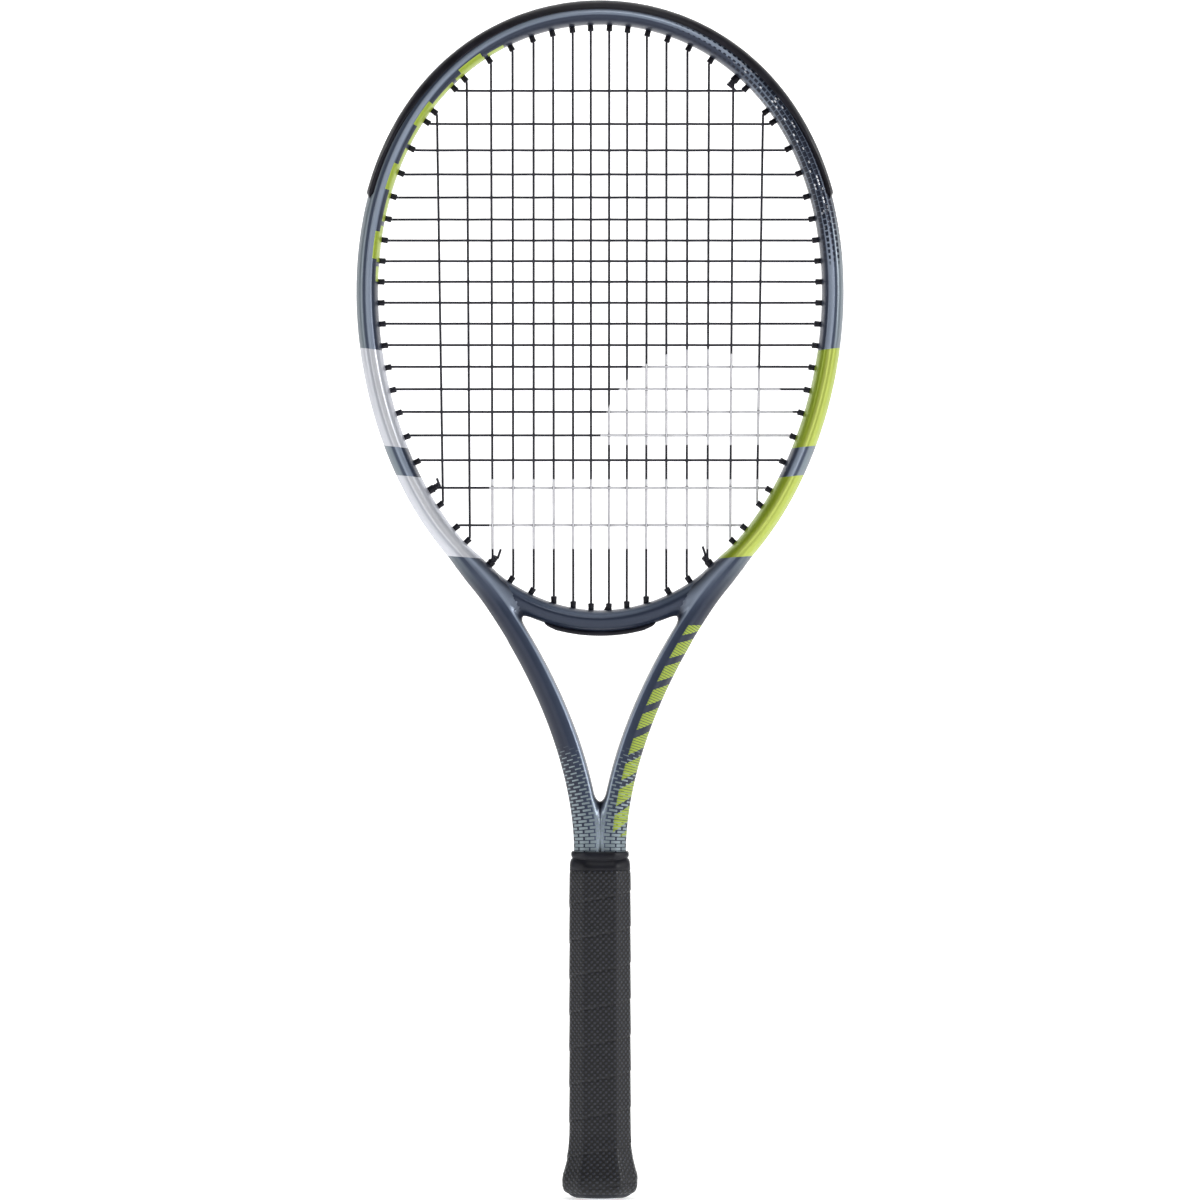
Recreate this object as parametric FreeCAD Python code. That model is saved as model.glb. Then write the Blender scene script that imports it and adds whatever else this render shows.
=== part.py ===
"""Tennis racket, upright: +Z runs from the butt to the head's top, -Y is the front face.

The frame is one hollow moulding: a bent tube (head, arms and double shaft) closed by a bridge across
the throat.  Grommet strips line its string holes, two strings are woven into it, and the handle is
built up on the shaft from two foam half shells, a butt cap, a grip strip and a rubber collar.
All sizes are in millimetres.
"""
import FreeCAD, Part
import math
import os
from FreeCAD import Vector

# ---- head: egg-shaped centreline of the tube ----
HEAD_CENTRE_Z = 503.3
HEAD_HALF_HEIGHT = 173.6
HEAD_HALF_WIDTH = 132.65
EGG_TAPER = 0.0797         # makes the head wider above its middle than below
EGG_SQUARE = 0.0359        # fills out the shoulders at both ends
# ---- arms and shaft ----
ARM_ANGLE = math.radians(138.3)   # where the arms leave the head, from the head's top
ARM_REACH = 113.5          # length of the Bezier handle that carries on along the head
SHAFT_REACH = 16.3         # length of the Bezier handle that comes up from the shaft
SHAFT_TOP_Z = 200.0
SHAFT_BOTTOM_Z = 5.0
SHAFT_AXIS_X = 7.4         # the two halves of the shaft lie side by side
# ---- tube section ----
HEAD_WIDTH = 12.6          # seen from the front
SHAFT_WIDTH = 15.2
TIP_DEPTH = 23.0           # front to back, at the head's top and at the shaft
SIDE_DEPTH = 25.5          # front to back, from the head's widest place to the throat
# half of the section, as (out of the head, front to back) for a tube HEAD_WIDTH wide and SECTION_DEPTH deep
SECTION_DEPTH = 25.2
TUBE_OUTLINE = [(-6.3, 4.0), (-4.6, 9.2), (-0.8, 12.6), (4.0, 10.6), (6.3, 5.2)]
HOLLOW_OUTLINE = [(-4.7, 3.2), (-3.0, 8.0), (-0.6, 10.5), (1.8, 9.4)]
BRIDGE_OUTLINE = [(-6.3, 3.6), (-4.4, 8.2), (0.0, 10.8), (4.4, 8.6), (6.3, 4.6)]
BRIDGE_HOLLOW_OUTLINE = [(-4.6, 2.8), (-3.0, 6.8), (0.0, 8.8), (3.0, 7.0), (4.6, 3.4)]
TUBE_STEPS = (22, 14, 1)   # stations on half the head, on an arm and down the shaft
BRIDGE_STEPS = 10
BRIDGE_ANGLE = math.radians(143.0)
BRIDGE_HOLLOW_ANGLE = math.radians(164.0)
BRIDGE_TUCK = 2.6          # how far the bridge's ends step back into the tube
BRIDGE_TUCK_ANGLE = math.radians(12.0)
# ---- string channel and grommet strips ----
CHANNEL_WIDTH = 9.4
CHANNEL_FLOOR = 3.5        # all heights in the channel are outward from the tube's centreline
STRIP_FLOOR = 3.52         # the side strips' underside, a hair off the channel's floor
STRIP_TOP = 4.6
STRIP_WIDTH = 9.2
STRING_HEIGHT = 5.35
BUMPER_ANGLE = math.radians(67.5)
BUMPER_OUTLINE = [(1.8, 3.0), (1.8, 12.4), (5.0, 11.4), (7.3, 5.8)]
BUMPER_CHANNEL_WIDTH = 4.4
BRIDGE_STRIP_ANGLE = math.radians(13.6)
BRIDGE_STRIP_TOP = 8.6
BRIDGE_STRIP_FLOOR = 7.1
BRIDGE_STRIP_WIDTH = 11.0
BRIDGE_STRING_HEIGHT = 7.85
BARREL_RADIUS = 1.7
BARREL_BORE = 1.05
WIDE_BARREL_RADIUS = 2.3   # for a hole that also holds the end of a string
WIDE_BARREL_BORE = 1.62
HOLE_GAP = 0.1
BARREL_MOUTH = -9.9        # the barrels stand 3.6 mm out of the tube's inner wall
# ---- strings ----
STRING_RADIUS = 0.625
WEAVE = 0.8                # how far each string goes in front of and behind the middle plane
SIDE_STEP = 0.8            # two strings in one wide hole lie this far from the middle plane
PASS_STEP = 0.9            # where a string passes another one's hole it lies this far from the middle plane
BARREL_STEP = 0.42         # and the string in that hole leans this far the other way
CHANNEL_SPACING = 4.5      # longest straight piece of string in a channel
BEND_RADIUS = 1.0
WEAVE_RADIUS = 6.0
KNOT_RADIUS = 1.55
MAINS_TOP_X = [5.3, 15.6, 26.8, 38.0, 50.0, 62.3, 76.2, 93.2]
MAINS_LOW_X = [5.1, 15.3, 26.4, 37.9, 49.6, 61.4, 74.4, 89.8]
SHOULDER_LEANS = {3: 31.0, 4: 34.0, 5: 40.0, 6: 46.0, 7: 52.0}   # degrees from straight down
CROSSES_Z = [632.8, 613.8, 598.8, 585.0, 571.8, 559.2, 547.2, 535.4, 523.6, 511.6,
             499.6, 487.4, 475.0, 462.2, 449.2, 435.8, 421.6, 405.8, 384.4]
CROSS_START_MAIN = 6       # counted from the middle, from 0: its top hole also holds the cross string's start
CROSS_END_ROW = 17         # the row whose left hole also holds the cross string's end
MAIN_END_MAIN = 5          # the main whose low holes also hold the main string's two ends
# front (-1) or back (+1) of the middle plane, where two strings share a hole or a channel
HOLE_SIDES = {("top", 6): -1, ("top", 7): -1, ("row", 0): 1, ("low", 5): -1, ("low", 6): -1, ("low", 7): 1,
              ("row", 17): 1, ("row", 18): -1}
RUN_SIDES = {(("top", 6), ("top", 7)): -1, (("top", 6), ("row", 0)): 1, (("row", 0), ("row", 1)): 1,
             (("low", 5), ("low", 6)): -1, (("low", 7), ("low", 5)): 1, (("row", 17), ("row", 18)): -1}
# ---- handle ----
PALLET_TOP_Z = 189.0
PALLET_BOTTOM_Z = 6.0
PALLET_SIZE = (31.5, 28.5)
GRIP_SIZE = (34.9, 31.9)
GRIP_BOTTOM_Z = 3.0
GRIP_FULL_TOP_Z = 185.4
GRIP_TOP_Z = 190.8
GRIP_TOP_SIZE = (32.6, 29.6)
TAPE_Z = (186.6, 190.6)
TAPE_THICKNESS = 0.25
CORNER_SHARE = 0.24        # how much of each side an eight-sided section gives to its corners
CAP_TOP_Z = 34.0
CAP_LEVELS = [(0.0, 38.6, 35.6), (2.2, 40.6, 37.6), (6.0, 40.2, 37.2), (12.0, 37.0, 34.0),
              (22.0, 33.6, 30.6), (CAP_TOP_Z, 32.5, 29.5)]
FLARE_COVER = 1.45         # thickness of the grip over the cap's flare
BADGE_RADIUS = 10.5
BADGE_THICKNESS = 1.0
STAPLE_Z = 27.0
STAPLE_CROWN = 10.0
STAPLE_WIRE = (0.6, 1.2)
STAPLE_LEG = 4.4
STAPLE_CROWN_HEIGHT = 1.2  # above the pallet's face
TACK_Z = 14.0
TACK_HEAD_RADIUS = 2.4
TACK_HEAD = 0.6
TACK_PIN_RADIUS = 0.6
TACK_LENGTH = 6.0
COLLAR_BOTTOM_Z = 187.2
COLLAR_STEP_Z = 192.0
COLLAR_TOP_Z = 198.0
COLLAR_GAP = 0.45
COLLAR_BOTTOM_SIZE = (35.0, 32.2)
COLLAR_WAIST_SIZE = (34.4, 30.6)
COLLAR_TOP_SIZE = (32.6, 26.6)


# ---- paths ----
def head_point(angle):
    """Point (x, z) on the head's centreline, at an angle from its top towards +X."""
    c = math.cos(angle)
    x = HEAD_HALF_WIDTH * math.sin(angle) * (1 + EGG_TAPER * c + EGG_SQUARE * c * c)
    return x, HEAD_CENTRE_Z + HEAD_HALF_HEIGHT * c


def slope_of(point_at, value, step=1e-4):
    """Unit direction (x, z) of a path at a value of its parameter."""
    (x0, z0), (x1, z1) = point_at(value - step), point_at(value + step)
    length = math.hypot(x1 - x0, z1 - z0)
    return (x1 - x0) / length, (z1 - z0) / length


def arm_point(share):
    """Point (x, z) on the right arm's cubic Bezier centreline, from the head (0) to the shaft (1)."""
    start = head_point(ARM_ANGLE)
    along = slope_of(head_point, ARM_ANGLE)
    corners = [start,
               (start[0] + ARM_REACH * along[0], start[1] + ARM_REACH * along[1]),
               (SHAFT_AXIS_X, SHAFT_TOP_Z + SHAFT_REACH),
               (SHAFT_AXIS_X, SHAFT_TOP_Z)]
    rest = 1 - share
    weights = [rest ** 3, 3 * rest ** 2 * share, 3 * rest * share ** 2, share ** 3]
    return tuple(sum(w * c[k] for w, c in zip(weights, corners)) for k in (0, 1))


def shaft_point(share):
    return SHAFT_AXIS_X, SHAFT_TOP_Z + share * (SHAFT_BOTTOM_Z - SHAFT_TOP_Z)


def ease(share):
    share = min(max(share, 0.0), 1.0)
    return share * share * (3 - 2 * share)


def head_size(angle):
    """Width and depth of the tube on the head."""
    depth = TIP_DEPTH + (SIDE_DEPTH - TIP_DEPTH) * ease((angle - math.radians(20)) / math.radians(60))
    return HEAD_WIDTH, depth


def arm_size(share):
    width = HEAD_WIDTH + (SHAFT_WIDTH - HEAD_WIDTH) * ease(share / 0.9)
    return width, SIDE_DEPTH + (TIP_DEPTH - SIDE_DEPTH) * ease((share - 0.2) / 0.8)


def shaft_size(_share):
    return SHAFT_WIDTH, TIP_DEPTH


def stations_of(point_at, size_at, values):
    """Stations (x, z, outward x, outward z, width, depth) along one stretch of the right half."""
    result = []
    for value in values:
        (x, z), (dx, dz) = point_at(value), slope_of(point_at, value)
        result.append((x, z, -dz, dx) + size_at(value))
    return result


def spread(low, high, count):
    return [low + (high - low) * k / count for k in range(count + 1)]


def half_tube(head_steps, arm_steps, shaft_steps):
    """Stations of the right half of the tube, from the head's top to the butt."""
    head = stations_of(head_point, head_size, spread(0, ARM_ANGLE, head_steps))
    arm = stations_of(arm_point, arm_size, spread(0, 1, arm_steps)[1:])
    shaft = stations_of(shaft_point, shaft_size, spread(0, 1, shaft_steps)[1:])
    return head + arm + shaft


def mirrored(station):
    return (-station[0], station[1], -station[2]) + tuple(station[3:])


def whole_tube(*steps):
    right = half_tube(*steps)
    return [mirrored(s) for s in reversed(right[1:])] + right


def lifted(station, out, y=0.0):
    """Point at a height above a station's centreline."""
    return Vector(station[0] + out * station[2], y, station[1] + out * station[3])


# ---- lofts ----
def section_wire(station, outline, shift=0.0):
    """Closed section across the tube at a station, from half of its outline."""
    wide, deep = station[4] / HEAD_WIDTH, station[5] / SECTION_DEPTH
    points = [lifted(station, u * wide + shift, y * deep) for u, y in outline]
    points += [lifted(station, u * wide + shift, -y * deep) for u, y in reversed(outline)]
    return Part.makePolygon(points + points[:1])


def loft(wires):
    return Part.makeLoft(wires, True, True)


def band(stations, low, high, width):
    """Strip of constant width that follows the stations between two heights above the centreline."""
    inner = [lifted(s, low, -width / 2) for s in stations]
    outer = [lifted(s, high, -width / 2) for s in stations]
    edges = []
    for row in (inner, list(reversed(outer))):
        curve = Part.BSplineCurve()
        curve.interpolate(row)
        edges.append(curve.toShape())
    edges.insert(1, Part.makeLine(inner[-1], outer[-1]))
    edges.append(Part.makeLine(outer[0], inner[0]))
    return Part.Face(Part.Wire(edges)).extrude(Vector(0, width, 0))


def bridge_stations(limit, steps):
    """Stations along the bridge, from one end to the other; limit is its ends' angle from the head's top."""
    right = stations_of(head_point, lambda angle: (HEAD_WIDTH, SECTION_DEPTH), spread(limit, math.pi, steps))
    return right + [mirrored(s) for s in reversed(right[:-1])]


def bridge_tuck(station_angle):
    return BRIDGE_TUCK * (1 - ease((station_angle - BRIDGE_ANGLE) / BRIDGE_TUCK_ANGLE))


def bridge_body():
    """The bridge: a bent bar whose two ends hide inside the tube."""
    angles = spread(BRIDGE_ANGLE, math.pi, BRIDGE_STEPS)
    angles += list(reversed(angles[:-1]))
    return loft([section_wire(s, BRIDGE_OUTLINE, bridge_tuck(a))
                 for s, a in zip(bridge_stations(BRIDGE_ANGLE, BRIDGE_STEPS), angles)])


# ---- string holes ----
def crossing(samples, start, direction, height):
    """Where a ray in the XZ plane first meets the line at a height above sampled stations."""
    best = None
    for first, second in zip(samples, samples[1:]):
        p, q = lifted(first, height), lifted(second, height)
        det = direction[0] * (q.z - p.z) - direction[1] * (q.x - p.x)
        if abs(det) < 1e-9:
            continue
        along = ((p.x - start[0]) * (q.z - p.z) - (p.z - start[1]) * (q.x - p.x)) / det
        part = ((p.x - start[0]) * direction[1] - (p.z - start[1]) * direction[0]) / det
        if along > 0 and 0 <= part <= 1 and (best is None or along < best[0]):
            best = (along, part, first, second)
    along, part, first, second = best
    mixed = tuple(a + (b - a) * part for a, b in zip(first, second))
    return along, mixed


def angle_where(coordinate, target, low, high):
    """Angle on the head at which a barrel's mouth has the given x (0) or z (1), by bisection."""
    def miss(angle):
        (x, z), (dx, dz) = head_point(angle), slope_of(head_point, angle)
        return (x - dz * BARREL_MOUTH, z + dx * BARREL_MOUTH)[coordinate] - target
    for _ in range(60):
        middle = (low + high) / 2
        if (miss(low) > 0) == (miss(middle) > 0):
            low = middle
        else:
            high = middle
    return (low + high) / 2


TUBE_SAMPLES = half_tube(240, 160, 2)[:401]
BRIDGE_SAMPLES = stations_of(head_point, lambda angle: (HEAD_WIDTH, SECTION_DEPTH),
                             spread(BRIDGE_ANGLE, math.pi, 120))


def make_hole(angle, lean=None, through_bridge=False, wide=False):
    """One string hole of the right half: its barrel's mouth, direction and length, and its place outside."""
    (x, z), (dx, dz) = head_point(angle), slope_of(head_point, angle)
    mouth = (x - dz * BARREL_MOUTH, z + dx * BARREL_MOUTH)
    direction = (-dz, dx)
    if lean is not None:
        direction = (math.sin(math.radians(lean)), -math.cos(math.radians(lean)))
    samples = BRIDGE_SAMPLES if through_bridge else TUBE_SAMPLES
    height = BRIDGE_STRING_HEIGHT if through_bridge else STRING_HEIGHT
    length, outside = crossing(samples, mouth, direction, height)
    return {"mouth": mouth, "direction": direction, "length": length, "outside": outside,
            "height": height, "bridge": through_bridge, "wide": wide}


def string_holes():
    """Every hole of the right half, by name: the mains' top and low ends and the crosses' ends."""
    holes = {}
    for k, x in enumerate(MAINS_TOP_X):
        holes["top", k] = make_hole(angle_where(0, x, 0.0, math.radians(60)))
    for k, x in enumerate(MAINS_LOW_X):
        angle = angle_where(0, x, math.radians(120), math.pi)
        if k in SHOULDER_LEANS:
            holes["low", k] = make_hole(angle, SHOULDER_LEANS[k], wide=k == MAIN_END_MAIN)
        else:
            holes["low", k] = make_hole(angle, 0.0, through_bridge=True)
    for row, z in enumerate(CROSSES_Z):
        holes["row", row] = make_hole(angle_where(1, z, math.radians(10), math.radians(160)))
    return holes


HOLES = string_holes()


def hole_rod(hole, radius, side, start=0.0, past=0.0):
    """Round rod along a hole; side is 1 for the right half and -1 for the left."""
    (x, z), (dx, dz) = hole["mouth"], hole["direction"]
    base = Vector(side * (x + dx * start), 0, z + dz * start)
    return Part.makeCylinder(radius, hole["length"] + past - start, base, Vector(side * dx, 0, dz))


def is_wide(key, side):
    """Whether a hole holds the end of a string besides the string that runs through it."""
    ends = [(("top", CROSS_START_MAIN), 1), (("row", CROSS_END_ROW), -1),
            (("low", MAIN_END_MAIN), 1), (("low", MAIN_END_MAIN), -1)]
    return (key, side) in ends


def rods(keys, sides, plain_radius, wide_radius, start=0.0, past=0.0):
    return [hole_rod(HOLES[key], wide_radius if is_wide(key, side) else plain_radius, side, start, past)
            for key in keys for side in sides]


def single(shape):
    """The one solid of a shape, with its split faces merged."""
    solids = shape.removeSplitter().Solids
    return max(solids, key=lambda s: s.Volume)


# ---- frame ----
def channel_stations():
    """Stations of the string channel, from one shoulder over the head's top to the other."""
    end = HOLES["low", 3]["outside"][1] - 7.0
    right = [s for s in half_tube(40, 40, 2) if s[1] > end]
    return [mirrored(s) for s in reversed(right[1:])] + right


def tube_body():
    """The bent tube, not yet hollow: its right half and the mirror image, joined at head and shaft."""
    right = loft([section_wire(s, TUBE_OUTLINE) for s in half_tube(*TUBE_STEPS)])
    return single(right.fuse(right.mirror(Vector(0, 0, 0), Vector(1, 0, 0))))


def tube_hollow():
    return loft([section_wire(s, HOLLOW_OUTLINE) for s in whole_tube(*TUBE_STEPS)])


def bridge_hollow():
    return loft([section_wire(s, BRIDGE_HOLLOW_OUTLINE) for s in bridge_stations(BRIDGE_HOLLOW_ANGLE, 4)])


def frame_body(tube):
    """The moulding: tube and bridge, hollowed, with the string channel and all the string holes."""
    body = tube.fuse(bridge_body())
    body = body.cut(tube_hollow()).cut(bridge_hollow())
    body = body.cut(band(channel_stations(), CHANNEL_FLOOR, HEAD_WIDTH, CHANNEL_WIDTH))
    drills = rods(HOLES, (1, -1), BARREL_RADIUS + HOLE_GAP, WIDE_BARREL_RADIUS + HOLE_GAP, past=6.0)
    return single(body.cut(drills))


# ---- grommet strips and bumper ----
def fitted_strip(base, keys, sides):
    """A strip with its barrels: the barrels run from the strip through the frame to their mouths."""
    solid = base.multiFuse(rods(keys, sides, BARREL_RADIUS, WIDE_BARREL_RADIUS, past=-1.3))
    bores = rods(keys, sides, BARREL_BORE, WIDE_BARREL_BORE, start=-1.0, past=6.0)
    return single(solid.cut(bores))


def keys_by_strip():
    """Keys of the holes that line the bumper guard, each side strip and the bridge's strip."""
    high, side, low = [], [], []
    limit = head_point(BUMPER_ANGLE)[1]
    for key, hole in HOLES.items():
        if hole["bridge"]:
            low.append(key)
        elif hole["outside"][1] > limit:
            high.append(key)
        else:
            side.append(key)
    return high, side, low


def bumper_guard(tube):
    """Guard over the head's top: a floor in the channel with barrels, and two lips round the outside."""
    reach = stations_of(head_point, head_size, spread(0, BUMPER_ANGLE, 12))
    stations = [mirrored(s) for s in reversed(reach[1:])] + reach
    shell = loft([section_wire(s, BUMPER_OUTLINE) for s in stations])
    floor = band(stations, CHANNEL_FLOOR, STRIP_TOP, STRIP_WIDTH)
    lips = shell.cut(tube).cut(band(stations, CHANNEL_FLOOR, HEAD_WIDTH, BUMPER_CHANNEL_WIDTH))
    walls = band(stations, CHANNEL_FLOOR, HEAD_WIDTH / 2 + 0.4, STRIP_WIDTH)
    walls = walls.cut(band(stations, STRIP_TOP, HEAD_WIDTH, BUMPER_CHANNEL_WIDTH))
    return fitted_strip(floor.fuse(walls).fuse(lips), keys_by_strip()[0], (1, -1))


def side_strip(side):
    """Strip in the channel beside the head and down over one shoulder."""
    start = head_point(BUMPER_ANGLE)[1] - 0.6
    end = HOLES["low", 3]["outside"][1] - 6.0
    stations = [s for s in half_tube(40, 40, 2) if end < s[1] < start]
    if side < 0:
        stations = [mirrored(s) for s in stations]
    return fitted_strip(band(stations, STRIP_FLOOR, STRIP_TOP, STRIP_WIDTH), keys_by_strip()[1], (side,))


def throat_strip():
    """Strip under the bridge, with a channel for the two loops of string that cross it."""
    stations = bridge_stations(math.pi - BRIDGE_STRIP_ANGLE, 6)
    base = band(stations, HEAD_WIDTH / 2 - 0.4, BRIDGE_STRIP_TOP, BRIDGE_STRIP_WIDTH)
    base = base.cut(bridge_body())
    base = base.cut(band(stations, BRIDGE_STRIP_FLOOR, HEAD_WIDTH, BUMPER_CHANNEL_WIDTH))
    return fitted_strip(base, keys_by_strip()[2], (1, -1))


# ---- strings ----
def cord_wire(points, radii):
    """Straight runs joined by tangent arcs; each inner point has its own bend radius."""
    edges, last = [], points[0]
    for before, corner, after, radius in zip(points, points[1:], points[2:], radii):
        first, second = (corner - before), (after - corner)
        room = 0.48 * min(first.Length, second.Length)
        turn = first.getAngle(second)
        if turn < 1e-3:
            continue
        cut = min(radius * math.tan(turn / 2), room)
        first.normalize()
        second.normalize()
        start, end = corner - first * cut, corner + second * cut
        inward = (second - first).normalize()
        true_radius = cut / math.tan(turn / 2)
        middle = corner + inward * (true_radius / math.cos(turn / 2) - true_radius)
        if (start - last).Length > 1e-4:
            edges.append(Part.makeLine(last, start))
        edges.append(Part.Arc(start, middle, end).toShape())
        last = end
    edges.append(Part.makeLine(last, points[-1]))
    return Part.Wire(edges)


def swept(wire, radius):
    start = wire.Edges[0]
    direction = start.tangentAt(start.FirstParameter)
    circle = Part.Wire(Part.makeCircle(radius, start.valueAt(start.FirstParameter), direction))
    return wire.makePipeShell([circle], True, True)


def hole_points(key, side, y):
    """The string's points at a hole: at the barrel's mouth and in the channel outside."""
    hole = HOLES[key]
    mouth = Vector(side * hole["mouth"][0], y, hole["mouth"][1])
    outside = lifted(hole["outside"], hole["height"], y)
    outside.x *= side
    return mouth, outside


def nearest_sample(samples, station):
    gaps = [math.hypot(s[0] - station[0], s[1] - station[1]) for s in samples]
    return gaps.index(min(gaps))


def channel_points(first, second, side):
    """Points along the channel from one hole to another on the same side of the head."""
    one, two = HOLES[first], HOLES[second]
    samples = BRIDGE_SAMPLES if one["bridge"] else TUBE_SAMPLES
    start, end = nearest_sample(samples, one["outside"]), nearest_sample(samples, two["outside"])
    gap = math.hypot(one["outside"][0] - two["outside"][0], one["outside"][1] - two["outside"][1])
    count = int(gap // CHANNEL_SPACING)
    y = PASS_STEP * RUN_SIDES.get((first, second), RUN_SIDES.get((second, first), 0))
    points = []
    for k in range(count):
        point = lifted(samples[round(start + (end - start) * (k + 1) / (count + 1))], one["height"], y)
        points.append(Vector(side * point.x, point.y, point.z))
    return points


def main_line(k, side, z):
    """The x of main number k at a height; the mains draw slightly together towards the throat."""
    top, low = HOLES["top", k]["mouth"], HOLES["low", k]["mouth"]
    share = (z - low[1]) / (top[1] - low[1])
    return side * (low[0] + (top[0] - low[0]) * share)


def crosses_of_main(k):
    """Rows that cross main number k, from the top down."""
    top, low = HOLES["top", k]["mouth"][1], HOLES["low", k]["mouth"][1]
    rows = []
    for row, z in enumerate(CROSSES_Z):
        x = abs(main_line(k, 1, z))
        if low + 1.5 < z < top - 1.5 and x < HOLES["row", row]["mouth"][0] - 1.5:
            rows.append(row)
    return rows


def layer(k, side, row):
    """+1 where the main lies in front of the cross, and -1 where it lies behind."""
    column = k if side > 0 else -1 - k
    return 1 if (column + row) % 2 == 0 else -1


def main_run(k, side, downwards):
    rows = crosses_of_main(k)
    points = []
    for row in rows:
        z = CROSSES_Z[row]
        points.append(Vector(main_line(k, side, z), -layer(k, side, row) * WEAVE, z))
    return points if downwards else points[::-1]


def cross_run(row, from_right):
    points = []
    for side in (1, -1):
        mains = [k for k in range(len(MAINS_TOP_X)) if row in crosses_of_main(k)]
        for k in (reversed(mains) if side > 0 else mains):
            x = main_line(k, side, CROSSES_Z[row])
            points.append(Vector(x, layer(k, side, row) * WEAVE, CROSSES_Z[row]))
    return points if from_right else points[::-1]


def place_in_hole(key, side):
    """How far a string's run lies from the middle plane in a hole."""
    return HOLE_SIDES.get(key, 0) * (SIDE_STEP if is_wide(key, side) else BARREL_STEP)


def run_ends(key, side):
    return hole_points(key, side, place_in_hole(key, side))


def string_end(key, side):
    """The end of a string in a wide hole: its tip, the barrel's mouth and the channel outside."""
    mouth, outside = hole_points(key, side, -place_in_hole(key, side))
    inward = (mouth - outside).normalize()
    return [mouth + inward * (KNOT_RADIUS + HOLE_GAP), mouth, outside]


def main_half(side):
    """The main string from the middle of its lowest loop to its end on one side."""
    points = []
    count = len(MAINS_TOP_X)
    for k in range(count):
        upwards = k % 2 == 0
        first, last = (("low", k), ("top", k)) if upwards else (("top", k), ("low", k))
        mouth, outside = run_ends(first, side)
        points += [outside, mouth] + main_run(k, side, not upwards)
        mouth, outside = run_ends(last, side)
        points += [mouth, outside]
        if k + 1 < count:
            points += channel_points(last, (last[0], k + 1), side)
    end = ("low", MAIN_END_MAIN)
    points += channel_points(("low", count - 1), end, side)
    return points + string_end(end, side)[::-1]


def cross_points():
    """The cross string, from its knot at the top right to its knot at the lower left."""
    last, side = ("top", CROSS_START_MAIN), 1
    points = string_end(last, side)
    for row in range(len(CROSSES_Z)):
        key = ("row", row)
        mouth, outside = run_ends(key, side)
        points += channel_points(last, key, side) + [outside, mouth] + cross_run(row, side > 0)
        side = -side
        mouth, outside = run_ends(key, side)
        points += [mouth, outside]
        last = key
    end = ("row", CROSS_END_ROW)
    return points + channel_points(last, end, side) + string_end(end, side)[::-1]


def knot(tip):
    """Ball for the knot on a string's tip, on the outer side of the string that it is tied round."""
    return Part.makeSphere(KNOT_RADIUS, Vector(tip.x, tip.y + math.copysign(KNOT_RADIUS / 2, tip.y), tip.z))


def string_body(points):
    """A string along its points, with a knot at each end."""
    radii = [WEAVE_RADIUS if (q - p).getAngle(r - q) < 0.5 else BEND_RADIUS
             for p, q, r in zip(points, points[1:], points[2:])]
    body = swept(cord_wire(points, radii), STRING_RADIUS)
    return single(body.multiFuse([knot(points[0]), knot(points[-1])]))


def main_string():
    return string_body(main_half(-1)[::-1] + main_half(1))


def cross_string():
    return string_body(cross_points())


# ---- handle ----
def octagon(size, z, half=0):
    """Eight-sided section at a height; half is -1 or 1 for its front or rear half alone."""
    x, y = size[0] / 2, size[1] / 2
    cx, cy = x - CORNER_SHARE * size[0], y - CORNER_SHARE * size[1]
    points = [(-x, cy), (-cx, y), (cx, y), (x, cy), (x, -cy), (cx, -y), (-cx, -y), (-x, -cy)]
    if half > 0:
        points = [(-x, 0)] + points[:4] + [(x, 0)]
    if half < 0:
        points = [(x, 0)] + points[4:] + [(-x, 0)]
    corners = [Vector(px, py, z) for px, py in points]
    return Part.makePolygon(corners + corners[:1])


def stack(levels, half=0):
    """Solid through eight-sided sections given as (z, size)."""
    return loft([octagon(size, z, half) for z, size in levels])


def grown(size, by):
    return size[0] + 2 * by, size[1] + 2 * by


def cap_levels():
    return [(z, (x, y)) for z, x, y in CAP_LEVELS]


def staples():
    """Two staples through the cap's skirt into the pallet, at the front and at the back."""
    face = PALLET_SIZE[1] / 2 + STAPLE_CROWN_HEIGHT
    thick, wide = STAPLE_WIRE
    solids = []
    for side in (1, -1):
        crown = Part.makeBox(STAPLE_CROWN, thick, wide, Vector(-STAPLE_CROWN / 2, -thick / 2, -wide / 2))
        crown.translate(Vector(0, side * face, STAPLE_Z))
        legs = []
        for end in (1, -1):
            leg = Part.makeBox(thick, STAPLE_LEG, wide, Vector(-thick / 2, -STAPLE_LEG / 2, -wide / 2))
            leg.translate(Vector(end * (STAPLE_CROWN - thick) / 2, side * (face - STAPLE_LEG / 2), STAPLE_Z))
            legs.append(leg)
        solids.append(single(crown.multiFuse(legs)))
    return solids


def grip_tack():
    """Flat-headed tack that holds the start of the grip strip on the cap's flare."""
    face = 0.5 * (CAP_LEVELS[3][2] + CAP_LEVELS[4][2]) / 2
    direction = Vector(0, 1, 0)
    pin = Part.makeCylinder(TACK_PIN_RADIUS, TACK_LENGTH, Vector(0, -face - TACK_HEAD, TACK_Z), direction)
    head = Part.makeCylinder(TACK_HEAD_RADIUS, TACK_HEAD, Vector(0, -face - TACK_HEAD, TACK_Z), direction)
    return single(pin.fuse(head))


def badge():
    return Part.makeCylinder(BADGE_RADIUS, BADGE_THICKNESS, Vector(0, 0, 0))


def pallet_half(half, tube):
    levels = [(PALLET_BOTTOM_Z, PALLET_SIZE), (PALLET_TOP_Z, PALLET_SIZE)]
    room = Part.makeBox(60, 60, PALLET_TOP_Z + 10, Vector(-30, -30, 0))
    return single(stack(levels, half).cut([tube.common(room), grip_tack()] + staples()))


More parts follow.
